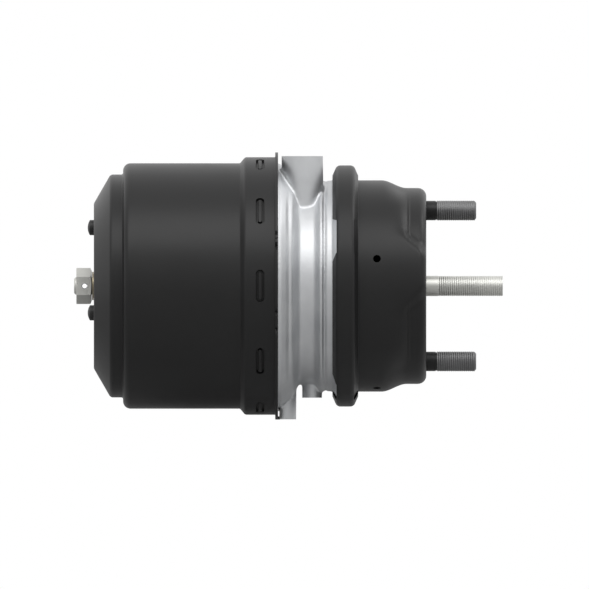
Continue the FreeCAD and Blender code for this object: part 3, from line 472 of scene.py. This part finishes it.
def along(y, z, x0, x1, radius, columns=48):
    """A closed cylinder along X, as a tool for cutting."""
    points = []
    for x in (x0, x1):
        for k in range(columns):
            turn = 2 * math.pi * k / columns
            points.append((x, y + radius * math.cos(turn), z + radius * math.sin(turn)))
    faces = [(k, (k + 1) % columns, columns + (k + 1) % columns, columns + k) for k in range(columns)]
    faces += [tuple(reversed(range(columns))), tuple(range(columns, 2 * columns))]
    return points, faces


def crossways(x, radius, half_length, angle=0.0, out=0.0, columns=40):
    """A closed cylinder square to the axis, its middle this far out at this angle, as a tool for cutting."""
    turn = Matrix.Rotation(math.radians(-angle), 3, "X")
    points, faces = along(0, 0, -half_length, half_length, radius, columns)
    return [tuple(turn @ Vector((x + p[1], -out + p[0], p[2]))) for p in points], faces


def joined(parts):
    """Several (points, faces) as one."""
    points, faces = [], []
    for more_points, more_faces in parts:
        first = len(points)
        points += more_points
        faces += [tuple(first + i for i in face) for face in more_faces]
    return points, faces


def moved(part, x=0.0, y=0.0, z=0.0):
    """A (points, faces) in another place."""
    points, faces = part
    return [(p[0] + x, p[1] + y, p[2] + z) for p in points], faces


def mesh_of(name, part):
    """A mesh in metres from points and faces: welded, with its normals outside."""
    mesh = bpy.data.meshes.new(name)
    points, faces = part
    mesh.from_pydata([Vector(p) * MM for p in points], [], faces)
    work = bmesh.new()
    work.from_mesh(mesh)
    bmesh.ops.remove_doubles(work, verts=work.verts, dist=weld_distance * MM)
    bmesh.ops.dissolve_degenerate(work, edges=work.edges, dist=sliver_length * MM)
    bmesh.ops.recalc_face_normals(work, faces=work.faces)
    work.to_mesh(mesh)
    work.free()
    return mesh


def modified(mesh, *changes):
    """The mesh after these modifiers, each given as (kind, values)."""
    shape = bpy.data.objects.new("shape", mesh)
    bpy.context.scene.collection.objects.link(shape)
    for i, (kind, values) in enumerate(changes):
        modifier = shape.modifiers.new("change%d" % i, kind)
        for key, value in values.items():
            setattr(modifier, key, value)
    graph = bpy.context.evaluated_depsgraph_get()
    result = bpy.data.meshes.new_from_object(shape.evaluated_get(graph))
    bpy.data.objects.remove(shape)
    return result


def modified_part(part, cuts):
    """The mesh of a part after these closed tools are cut from it."""
    tool = bpy.data.objects.new("tool", mesh_of("tool", joined(cuts)))
    bpy.context.scene.collection.objects.link(tool)
    cut = ("BOOLEAN", {"operation": "DIFFERENCE", "solver": "EXACT", "object": tool})
    mesh = modified(mesh_of("part", part), cut)
    bpy.data.objects.remove(tool)
    return mesh


def dress(name, mesh, slot, body, replaced, crease):
    """A piece from a mesh: smooth up to the crease angle, with its finish, on its body, for these solids."""
    mesh.shade_smooth()
    mesh.set_sharp_from_angle(angle=math.radians(crease))
    mesh.materials.clear()
    mesh.materials.append(materials[slot])
    piece = bpy.data.objects.new(name, mesh)
    bpy.context.scene.collection.objects.link(piece)
    if body:
        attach(piece, body)
    if replaced:
        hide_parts(*replaced)
    return piece


def add_piece(name, part, slot, body="root", replaced=(), crease=32.0):
    """A dressed piece from points and faces."""
    return dress(name, mesh_of(name, part), slot, body, replaced, crease)


# Threads

thread_pitch = 1.5
stud_thread_depth = 0.4
rod_thread_depth = 0.24
thread_rows = 8
thread_columns = 40
thread_end_fade = 0.2
stud_runout = 0.6
rod_runout = 0.3


def thread_dip(share):
    """How deep a rolled thread is, from 0 on its crest to 1 in its root, at a share of its pitch."""
    return (1 - math.cos(2 * math.pi * share)) / 2


def helix_grid(start, end, radius, depth, runout, tip=None):
    """A thread whose rows follow the helix, so that the last column meets the first a pitch on."""
    rows = round((end - start) / thread_pitch * thread_rows) + thread_rows + 1
    points = []
    for i in range(rows):
        for j in range(thread_columns + 1):
            x = start + thread_pitch * (i / thread_rows - 1 + j / thread_columns)
            x = min(max(x, start), end)
            fade = min((x - start) / runout, (end - x) / thread_end_fade, 1.0)
            r = radius - depth * fade * thread_dip(i / thread_rows)
            if tip:
                r = min(r, tip(x))
            turn = 2 * math.pi * j / thread_columns
            points.append((x, -r * math.cos(turn), r * math.sin(turn)))
    faces = []
    wide = thread_columns + 1
    for i in range(rows - 1):
        for j in range(thread_columns):
            faces.append((i * wide + j, i * wide + j + 1, (i + 1) * wide + j + 1, (i + 1) * wide + j))
    return points, faces


def add_push_rod():
    """The push rod: its pin, foot, shank and threaded end."""
    foot = rounded([
        (rod_back, 0, 0), (rod_back, rod_pin_radius, 0), (rod_foot_back, rod_pin_radius, 0),
        (rod_foot_back, rod_foot_radius, 0.3), (rod_foot_front, rod_foot_radius, 1.0),
        (rod_foot_front, rod_radius, 1.0), (rod_thread_start, rod_radius, 0.2),
        (rod_thread_start, rod_crest_radius, 0)])
    columns = around(thread_columns)
    shaft = grid_of(foot, columns)
    thread = helix_grid(rod_thread_start, rod_end, rod_crest_radius, rod_thread_depth, rod_runout)
    tip = grid_of([(rod_end, rod_crest_radius), (rod_end, 0)], columns)
    part = joined([shaft, thread, tip])
    add_piece("push_rod_thread", part, "bright_zinc", "push_rod", ["push_rod"], crease=50.0)


def add_studs():
    """The two studs of the mounting plate, with black paint on their necks and painted shade filling the
    groove before the thread.
    """
    foot = rounded([
        (stud_back, 0, 0), (stud_back, stud_head_radius, 1.0), (stud_head_front, stud_head_radius, 0),
        (stud_head_front, stud_shank_radius, 0), (0, stud_shank_radius, 0), (0, stud_neck_radius, 0),
        (stud_neck_end, stud_neck_radius, 0), (stud_neck_end + stud_step, stud_groove_radius, 0),
        (stud_thread_start, stud_groove_radius, 0), (stud_thread_start, stud_crest_radius, 0)])
    columns = around(thread_columns)
    shank = grid_of(foot, columns)

    def tip(x):
        slope = (stud_crest_radius - stud_face_radius) / stud_chamfer
        return stud_face_radius + max(stud_end - x, 0.0) * slope

    thread = helix_grid(stud_thread_start, stud_end, stud_crest_radius, stud_thread_depth, stud_runout, tip)
    cap = grid_of([(stud_end, stud_face_radius), (stud_end, 0)], columns)
    stud = joined([shank, thread, cap])
    both = [moved(stud, z=side * stud_spacing / 2) for side in (-1, 1)]
    add_piece("stud_threads", joined(both), "dark_steel", "root", ["mounting_studs"], crease=50.0)
    painted = stud_neck_radius + paint_thickness
    # Real black paint on the neck, then a black band over the groove as painted shade, down to the thread's
    # start.
    neck_paint_and_groove_shade = [(paint_gap, stud_neck_radius + paint_gap), (paint_gap, painted), (stud_neck_end, painted),
             (stud_neck_end + stud_step, groove_shade_radius), (groove_shade_end, groove_shade_radius),
             (stud_thread_start - paint_gap, stud_groove_radius + paint_gap)]
    sleeve = grid_of(neck_paint_and_groove_shade, around(48))
    both = [moved(sleeve, z=side * stud_spacing / 2) for side in (-1, 1)]
    add_piece("stud_necks_and_groove_shade", joined(both), "black_steel")


# Spring housing

def pocket_depth(x, angle):
    """How far the collar is pressed in: a stake pocket has a deep moat round a raised floor."""
    spacing = 360.0 / stake_count
    off = (angle + spacing / 2) % spacing - spacing / 2
    along = abs(math.radians(off) * collar_radius)
    across = abs(x - stake_x)
    straight = stake_length / 2 - stake_width / 2
    inside = stake_width / 2 - math.hypot(across, max(along - straight, 0.0))
    if inside < -stake_roll:
        return 0.0
    if inside < 0:
        return stake_roll_depth * (1 + inside / stake_roll) ** 2
    if inside < stake_wall:
        return stake_roll_depth + (stake_moat_depth - stake_roll_depth) * inside / stake_wall
    if inside < stake_moat:
        return stake_moat_depth
    rise = min((inside - stake_moat) / stake_wall, 1.0)
    return stake_moat_depth + (stake_floor_depth - stake_moat_depth) * rise


def stake_angles():
    """Angles for the grid of the housing: fine at both ends of each pocket and coarse elsewhere."""
    spacing = 360.0 / stake_count
    half = math.degrees(stake_length / 2 / collar_radius)
    reach = math.degrees((stake_width / 2 + stake_fringe) / collar_radius)
    angles = []
    for i in range(stake_count):
        middle = i * spacing
        angles += evenly(middle - spacing / 2, middle - half - reach * 0.3, 8)[:-1]
        angles += evenly(middle - half - reach * 0.3, middle - half + reach, 14)[:-1]
        angles += evenly(middle - half + reach, middle + half - reach, 6)[:-1]
        angles += evenly(middle + half - reach, middle + half + reach * 0.3, 14)[:-1]
        angles += evenly(middle + half + reach * 0.3, middle + spacing / 2, 8)[:-1]
    return angles


def rim_notch(angle):
    """How far the rim's edge is cut back, in the short notches on the near side."""
    turned = (angle + 180.0) % 360.0 - 180.0
    for start, end in rim_notches:
        off = min(turned - start, end - turned)
        if off > 0:
            return rim_notch_depth * min(off / rim_notch_run, 1.0)
    return 0.0


def rim_tab():
    """The hook at the foot of the rim: forward from the rim, in towards the axis, and back."""
    front = rim_x + tab_reach
    back = rim_x - tab_overlap
    lip = rim_x + tab_gap
    loop = [(back, rim_radius - tab_floor), (front - tab_thickness, rim_radius - tab_floor),
            (front - tab_thickness, rim_radius - tab_foot), (lip, rim_radius - tab_foot),
            (lip, rim_radius - tab_lip), (front, rim_radius - tab_lip),
            (front, rim_radius), (back, rim_radius)]
    return swept(loop, evenly(-90.0 - tab_half_angle, -90.0 + tab_half_angle, 8))


def add_spring_housing():
    """The pressed can of the spring section, with its staked collar, rim and hook."""
    outer = rounded([
        (end_x, bush_hole_radius, 0), (end_x, end_face_radius, 4.0), (end_shoulder_x, end_radius, 3.5),
        (main_x, end_radius, 1.4), (main_x, spring_radius, 6.0), (joggle_x, spring_radius, 2.0),
        (collar_x, collar_radius, 3.2), (collar_x + 2.2, collar_radius, 0)], steps=8)
    strip_half = stake_width / 2 + stake_margin
    strip = evenly(stake_x - strip_half, stake_x + strip_half, stake_rows)
    outer += [(x, collar_radius) for x in strip]
    inside = collar_radius - spring_wall
    outer += rounded([(strip[-1], collar_radius, 0), (collar_front_x, collar_radius, 0.6),
                      (collar_front_x, rim_radius, 0.35), (rim_x, rim_radius, 0.35),
                      (rim_x, inside, 1.2), (collar_x + 1.6, inside, 0)])
    inside = spring_radius - spring_wall
    inner = [(joggle_x + 1.2, inside), (main_x + spring_wall, inside)]
    inside = end_radius - spring_wall
    inner += [(main_x + spring_wall, inside), (end_shoulder_x + 0.8, inside),
              (end_x + spring_wall, end_face_radius - 0.8), (end_x + spring_wall, bush_hole_radius)]
    skin = outer + inner + [outer[0]]

    def change(x, r, angle):
        if abs(r - collar_radius) < 0.01 and abs(x - stake_x) < stake_width:
            return x, r - pocket_depth(x, angle)
        if r > rim_radius - 1.0:
            return x, r - rim_notch(angle)
        return x, r

    part = joined([grid_of(skin, stake_angles(), change), rim_tab()])
    add_piece("housing_shell", part, "black_steel", "root", ["spring_housing"])


# Vent plugs and release hexagon, on the end wall

def add_vent_plugs():
    """Two domed plugs in the end wall, each a cap, a stem and a barb."""
    sagitta = plug_height - plug_side
    bend = (plug_radius ** 2 + sagitta ** 2) / (2 * sagitta)
    dome = []
    for i in range(9):
        r = plug_radius * i / 9
        dome.append((end_x - plug_height + bend - math.sqrt(bend ** 2 - r ** 2), r))
    side = rounded([dome[-1] + (0,), (end_x - plug_side, plug_radius, 0.5), (end_x, plug_radius, 0)])
    stem = [(end_x, plug_stem_radius), (plug_barb_x, plug_stem_radius), (plug_barb_x, plug_barb_radius),
            (plug_tip_x, plug_tip_radius), (plug_tip_x, 0)]
    plug = grid_of(dome + side[1:] + stem, around(48))
    both = []
    for angle in plug_angles:
        turn = math.radians(angle)
        both.append(moved(plug, y=-plug_ring_radius * math.cos(turn), z=plug_ring_radius * math.sin(turn)))
    add_piece("vent_plug_caps", joined(both), "black_plastic", "root", ["vent_plugs"])


def add_release_hex():
    """The release screw's hexagon, chamfered on the side of the housing and bored across for its pin."""
    outline = [(hex_x, hex_bore_radius), (hex_x, hex_apothem - hex_chamfer),
               (hex_x + hex_chamfer, hex_apothem), (hex_end - hex_face_length, hex_apothem),
               (hex_end, hex_apothem - hex_face_drop), (hex_end, hex_bore_radius)]

    def change(x, r, angle):
        off = math.radians((angle + 30.0) % 60.0 - 30.0)
        corner = hex_apothem / math.cos(off) - hex_apothem
        if r < hex_apothem - hex_skin:
            return x, r
        if x > hex_end - hex_lean_length:
            return x - hex_lean * corner, r + corner
        return x, r + corner

    part = grid_of(outline + [outline[0]], around(72), change)
    mesh = modified_part(part, [crossways(pin_x, pin_hole_radius, 2 * hex_apothem)])
    dress("release_hexagon", mesh, "bright_zinc", "release_screw", ["release_hex"], crease=20.0)


# Service housing

def nose_recess(x, angle):
    """How far the nose is pressed in: not on its two crowns, to a crease beside them, gently elsewhere."""
    off = abs((angle - crown_angle + 90.0) % 180.0 - 90.0)
    gentle = nose_depth * smooth((x - nose_start) / (nose_end - nose_start))
    share = min(max((x - crease_start) / (crease_end - crease_start), 0.0), 1.0)
    slant = min(max((flare_end - x) / (flare_end - flare_start), 0.0), 1.0)
    edge = crown_half_angle + crown_flare * slant
    pressed = smooth((off - edge) / crown_blend + 0.5)
    step = smooth((x - crease_step_start) / crease_step_length)
    creased = (nose_depth - crease_step) * share ** crease_power + crease_step * step
    far = smooth((off - gentle_angle) / gentle_blend)
    return pressed * (creased + (gentle - creased) * far)


def corner_arc(x, r, bend, count=8):
    """The rounded front corner of the nose, from its side to its face."""
    turns = [math.pi / 2 * i / count for i in range(count + 1)]
    return [(x - bend + bend * math.sin(t), r - bend + bend * math.cos(t)) for t in turns]


def add_service_housing():
    """The pressed can of the service section, with its nose, drain holes and stud holes."""
    inner_radius = service_radius - service_wall
    inner_corner = nose_corner - service_wall
    rows = evenly(nose_start, crease_fine, 30) + evenly(crease_fine, crease_past, 18)[1:]
    rows += evenly(rows[-1], -nose_corner, 14)[1:]
    outer = rounded([(flange_x, flange_radius, 0), (flange_foot_x, service_radius, 0.8),
                     (nose_start, service_radius, 0)])
    outer += [(x, service_radius) for x in rows[1:-1]]
    outer += corner_arc(0, service_radius, nose_corner)
    inner = corner_arc(-service_wall, inner_radius, inner_corner)[::-1]
    inner += [(x, inner_radius) for x in rows[-2:0:-1]]
    inner += rounded([(nose_start, inner_radius, 0), (flange_foot_x + 1.0, inner_radius, 2.5),
                      (flange_x, flange_radius - flange_lip, 0)])
    face = [(0, rod_hole_radius), (-service_wall, rod_hole_radius)]
    skin = outer + face + inner + [outer[0]]

    def change(x, r, angle):
        if x < nose_start or r < inner_radius - nose_corner - 1.0:
            return x, r
        return x, r - nose_recess(x, angle)

    cuts = [crossways(drain_x, drain_radius, 2 * service_wall, drain_angle + 90.0 * k, service_radius)
            for k in range(4)]
    hole_radius = stud_shank_radius + stud_hole_gap
    cuts += [along(0, side * stud_spacing / 2, -2 * service_wall, service_wall, hole_radius)
             for side in (-1, 1)]
    mesh = modified_part(grid_of(skin, around(240), change), cuts)
    dress("service_shell", mesh, "black_steel", "root", ["service_housing"], crease=40.0)


# Springs and diaphragm

def spring_coil(back, front, back_radius, front_radius, wire, turns):
    """A coil with ground ends whose wire's centre goes from one radius to the other."""
    sides = coil_sides
    steps = int(turns * coil_steps)
    points, faces = [], []
    for i in range(steps + 1):
        share = i / steps
        middle = back + wire / 4 + (front - back - wire / 2) * share
        radius = back_radius + (front_radius - back_radius) * share
        turn = 2 * math.pi * turns * share
        for k in range(sides):
            lean = 2 * math.pi * k / sides
            x = min(max(middle + wire / 2 * math.cos(lean), back), front)
            r = radius + wire / 2 * math.sin(lean)
            points.append((x, -r * math.cos(turn), r * math.sin(turn)))
    for i in range(steps):
        for k in range(sides):
            m = (k + 1) % sides
            faces.append((i * sides + k, i * sides + m, (i + 1) * sides + m, (i + 1) * sides + k))
    faces.append(tuple(range(sides)))
    faces.append(tuple(reversed(range(steps * sides, (steps + 1) * sides))))
    return points, faces


def add_springs():
    """The return spring and the power spring, each a coil put in place of its solid."""
    back = low("return_spring").x
    front = high("return_spring").x
    part = spring_coil(back, front, return_back_radius, return_front_radius, return_wire, return_turns)
    spring = add_piece("return_coil", part, "spring_steel", "root", ["return_spring"], crease=60.0)
    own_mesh(spring)
    back = low("power_spring").x
    front = high("power_spring").x
    part = spring_coil(back, front, power_radius, power_radius, power_wire, power_turns)
    spring = add_piece("power_coil", part, "spring_steel", None, ["power_spring"], crease=60.0)
    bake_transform(spring)


def add_diaphragm():
    """The rubber dish between the casting and the push plate, with its wedge bead in the clamped joint."""
    back = low("diaphragm").x
    bead = high("diaphragm").z
    inside = back + diaphragm_wall
    outline = rounded([
        (back, 0, 0), (back, dish_radius, 6.0), (bead_back, bead_back_radius, 1.0), (bead_back, bead, 0.8),
        (bead_front, bead, 0.8), (*bead_tip, 1.4), (*bead_throat, 3.5), (inside, dish_inner_radius, 4.5),
        (inside, 0, 0)])
    part = grid_of(outline, around(120))
    dish = add_piece("diaphragm_dish", part, "rubber", None, ["diaphragm"])
    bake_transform(dish)


# The casting

def casting_radius(x):
    """Outer radius of the casting's skin at a place along the axis."""
    for (x0, r0), (x1, r1) in zip(casting_skin, casting_skin[1:]):
        if x0 <= x <= x1:
            return r0 + (r1 - r0) * (x - x0) / max(x1 - x0, 1e-6)
    return casting_skin[-1][1]


def tube_along(path, radius, sides=10):
    """A tube of this radius along a closed path of points."""
    points, faces = [], []
    count = len(path)
    for i, p in enumerate(path):
        ahead = path[(i + 1) % count] - path[i - 1]
        side = ahead.cross(Vector((0, 0, 1))).normalized()
        up = side.cross(ahead).normalized()
        for k in range(sides):
            turn = 2 * math.pi * k / sides
            points.append(p + radius * (side * math.cos(turn) + up * math.sin(turn)))
    for i in range(count):
        j = (i + 1) % count
        for k in range(sides):
            m = (k + 1) % sides
            faces.append((i * sides + k, i * sides + m, j * sides + m, j * sides + k))
    return [tuple(p) for p in points], faces


def upright(x, y, z0, z1, radius, columns=64):
    """A closed upright cylinder."""
    points, faces = [], []
    for z in (z0, z1):
        for k in range(columns):
            turn = 2 * math.pi * k / columns
            points.append((x + radius * math.cos(turn), y + radius * math.sin(turn), z))
    for k in range(columns):
        m = (k + 1) % columns
        faces.append((k, m, columns + m, columns + k))
    faces.append(tuple(reversed(range(columns))))
    faces.append(tuple(range(columns, 2 * columns)))
    return points, faces


def boss_bead(side):
    """The raised line where a port boss meets the skin of the casting."""
    path = []
    for i in range(boss_bead_steps):
        turn = 2 * math.pi * i / boss_bead_steps
        x = port_x + port_boss_radius * math.cos(turn)
        y = side * port_y + port_boss_radius * math.sin(turn)
        path.append(Vector((x, y, math.sqrt(casting_radius(x) ** 2 - y * y) + boss_bead_lift)))
    return tube_along(path, boss_bead_radius)


def cast_blank():
    """The solid of the casting, with its bosses made longer and a bead line round each port boss."""
    bottom = port_top - port_boss_plug
    top = port_top + boss_extra
    extra = [upright(port_x, side * port_y, bottom, top, port_boss_radius) for side in (-1, 1)]
    extra += [boss_bead(side) for side in (-1, 1)]
    for x, radius, end in lower_bosses:
        points, faces = upright(x, 0, -end - boss_extra, boss_root - end, radius)
        extra.append(([(max(p[0], vent_boss_flat_x), p[1], p[2]) for p in points], faces))
    mesh = nodes["intermediate_flange"].data.copy()
    work = bmesh.new()
    work.from_mesh(mesh)
    bmesh.ops.remove_doubles(work, verts=work.verts, dist=weld_distance * MM)
    work.to_mesh(mesh)
    work.free()
    points, faces = joined(extra)
    more = bpy.data.meshes.new("extra")
    more.from_pydata([Vector(p) * MM for p in points], [], faces)
    work = bmesh.new()
    work.from_mesh(mesh)
    work.from_mesh(more)
    bmesh.ops.recalc_face_normals(work, faces=work.faces)
    work.to_mesh(mesh)
    work.free()
    return mesh


def cut_level(work, z):
    """Cuts a mesh at a level, drops what lies above it, and gives the loops of edges that are left open."""
    geometry = work.verts[:] + work.edges[:] + work.faces[:]
    bmesh.ops.bisect_plane(work, geom=geometry, plane_co=(0, 0, z * MM), plane_no=(0, 0, 1),
                           clear_outer=True)
    return [e for e in work.edges if e.is_boundary and all(abs(v.co.z - z * MM) < 1e-7 for v in e.verts)]


def level_boss(work, x, radius, end):
    """Cuts the end of a lower boss off level and closes it."""
    reach = (radius + boss_cut_reach) * MM
    near = []
    for face in work.faces:
        middle = face.calc_center_median()
        beside = abs(middle.x - x * MM) < reach and abs(middle.y) < reach
        if beside and middle.z < (boss_cut_depth - end) * MM:
            near.append(face)
    verts = {v for f in near for v in f.verts}
    edges = {e for f in near for e in f.edges}
    cut = bmesh.ops.bisect_plane(work, geom=near + list(edges) + list(verts), plane_co=(0, 0, -end * MM),
                                 plane_no=(0, 0, -1), clear_outer=True)
    loop = [e for e in cut["geom_cut"] if isinstance(e, bmesh.types.BMEdge)]
    bmesh.ops.contextual_create(work, geom=loop)


def thread_well(radius, depth, mouth):
    """The faces of a threaded blind hole, with its mouth at height 0 and its floor below."""
    thread_step = thread_pitch / thread_rows
    steps = round((depth - port_thread_clear) / thread_step)
    root = radius + port_thread_depth
    rows = [(-i * thread_step - port_thread_start, root) for i in range(steps + 1)]
    rows = [(0.0, mouth)] + rows + [(rows[-1][0] - port_thread_run, radius), (-depth, radius),
                                    (-depth - port_point_depth, port_point_radius)]
    points, faces = [], []
    for z, r in rows:
        for k in range(thread_columns):
            turn = 2 * math.pi * k / thread_columns
            share = z / thread_pitch - k / thread_columns
            dip = port_thread_depth * thread_dip(share) if r == root else 0.0
            points.append(((r - dip) * math.cos(turn), (r - dip) * math.sin(turn), z))
    for i in range(len(rows) - 1):
        for k in range(thread_columns):
            m = (k + 1) % thread_columns
            faces.append((i * thread_columns + k, i * thread_columns + m,
                          (i + 1) * thread_columns + m, (i + 1) * thread_columns + k))
    last = (len(rows) - 1) * thread_columns
    faces.append(tuple(range(last, last + thread_columns)))
    return points, faces


def grooved(place):
    """A point of the casting's skin, sunk where it lies in one of the shallow grooves of the sides."""
    x, y, z = place / MM
    r = math.hypot(y, z)
    if abs(r - casting_radius(x)) > skin_reach:
        return place
    fade = 1 - smooth((abs(z) - groove_fade[0]) / (groove_fade[1] - groove_fade[0]))
    sunk = sum(depth * fade * (1 - smooth(abs(x - middle) / half))
               for middle, half, depth in casting_grooves)
    share = 1 - sunk / r
    return Vector((x, y * share, z * share)) * MM


def add_casting():
    """The casting, softened all over and then machined: flat boss ends and two threaded ports."""
    mesh = modified(
        cast_blank(),
        ("REMESH", {"mode": "VOXEL", "voxel_size": casting_voxel * MM, "adaptivity": 0.0}),
        ("SMOOTH", {"factor": 0.5, "iterations": casting_softness}))
    work = bmesh.new()
    work.from_mesh(mesh)
    for vert in work.verts:
        vert.co = grooved(vert.co)
    rim = cut_level(work, port_top)
    for side in (-1, 1):
        loop = [e for e in rim if (e.verts[0].co.y > 0) == (side > 0)]
        points, faces = moved(thread_well(port_bore_radius, port_bore_depth, port_mouth_radius),
                              port_x, side * port_y, port_top)
        corners = [work.verts.new(Vector(p) * MM) for p in points]
        for face in faces:
            work.faces.new([corners[i] for i in face])
        ring = corners[:thread_columns]
        mouth = [work.edges.get(pair) for pair in zip(ring, ring[1:] + ring[:1])]
        bmesh.ops.bridge_loops(work, edges=loop + mouth)
    for boss in lower_bosses:
        level_boss(work, *boss)
    work.to_mesh(mesh)
    work.free()
    dress("casting", mesh, "cast_aluminium", "root", ["intermediate_flange"], crease=50.0)


# Camera, light and floor

def add_camera():
    """The photograph's own view: square to the axis, with no perspective."""
    data = bpy.data.cameras.new("camera")
    data.type = "ORTHO"
    data.ortho_scale = photo_width * photo_scale * MM
    camera = bpy.data.objects.new("camera", data)
    middle = photo_width / 2
    x = (middle - photo_axis_pixel[0]) * photo_scale * MM
    z = (photo_axis_pixel[1] - middle) * photo_scale * MM
    camera.location = (x, -camera_distance, z)
    camera.rotation_euler = (math.radians(90), 0, 0)
    bpy.context.scene.collection.objects.link(camera)
    bpy.context.scene.camera = camera


def add_softbox(name, place, target, width, height, strength):
    """A rectangular lamp that looks at its target."""
    data = bpy.data.lights.new(name, "AREA")
    data.shape = "RECTANGLE"
    data.size = width
    data.size_y = height
    data.energy = strength
    light = bpy.data.objects.new(name, data)
    light.location = place
    light.rotation_euler = (Vector(target) - Vector(place)).to_track_quat("-Z", "Y").to_euler()
    bpy.context.scene.collection.objects.link(light)


def add_world():
    """A white backdrop: white to the camera, and in reflections white behind and above, dimmer in front."""
    world = bpy.data.worlds.new("studio")
    world.use_nodes = True
    tree = world.node_tree
    add = node_adder(tree)
    direction = add("ShaderNodeTexCoord").outputs["Generated"]
    rise = add("ShaderNodeVectorMath", [(direction, 0)], operation="DOT_PRODUCT")
    rise.inputs[1].default_value = backdrop_side
    white = add("ShaderNodeMapRange", [(rise.outputs["Value"], "Value")], in_From_Min=-1.0,
                in_From_Max=backdrop_full, in_To_Min=backdrop_dim, in_To_Max=1.0)
    path = add("ShaderNodeLightPath").outputs
    mirrored = add("ShaderNodeMath", [(path["Is Glossy Ray"], 0), (path["Is Transmission Ray"], 1)],
                   operation="ADD", use_clamp=True)
    level = add("ShaderNodeMapRange", [(mirrored.outputs[0], "Value")],
                in_To_Min=backdrop_diffuse, in_To_Max=1.0)
    glow = add("ShaderNodeMath", [(white.outputs["Result"], 0), (level.outputs["Result"], 1)],
               operation="MULTIPLY")
    seen = add("ShaderNodeMix", [(path["Is Camera Ray"], "Factor"), (glow.outputs[0], "A")],
               data_type="FLOAT", in_B=1.0)
    tree.links.new(seen.outputs["Result"], tree.nodes["Background"].inputs["Strength"])
    tree.nodes["Background"].inputs["Color"].default_value = (1, 1, 1, 1)
    bpy.context.scene.world = world


def add_floor():
    """A plain pale floor, a little below the object."""
    mesh = bpy.data.meshes.new("floor")
    reach = floor_reach
    z = cad_box[0].z - floor_drop * MM
    corners = [(-reach, -reach, z), (reach, -reach, z), (reach, reach, z), (-reach, reach, z)]
    mesh.from_pydata(corners, [], [(0, 1, 2, 3)])
    floor = bpy.data.objects.new("floor", mesh)
    bpy.context.scene.collection.objects.link(floor)
    material, shader, add, link = new_material("floor")
    place = add("ShaderNodeTexCoord").outputs["Object"]
    cloud = noise(add, place, 2.0)
    tone = ramp(add, cloud.outputs["Fac"], [(0.3, (floor_colour - floor_drift,) * 3),
                                            (0.7, (floor_colour + floor_drift,) * 3)])
    link(tone.outputs["Color"], shader.inputs["Base Color"])
    shader.inputs["Roughness"].default_value = 0.9
    mesh.materials.append(material)


add_push_rod()
add_studs()
add_spring_housing()
add_service_housing()
add_vent_plugs()
add_release_hex()
add_springs()
add_diaphragm()
add_casting()
add_camera()
add_world()
add_floor()
add_softbox("key", key_place, key_aim, key_length, key_width, key_power)
add_softbox("side", side_place, side_aim, side_size, side_size, side_power)

bpy.context.scene.view_settings.view_transform = "Standard"
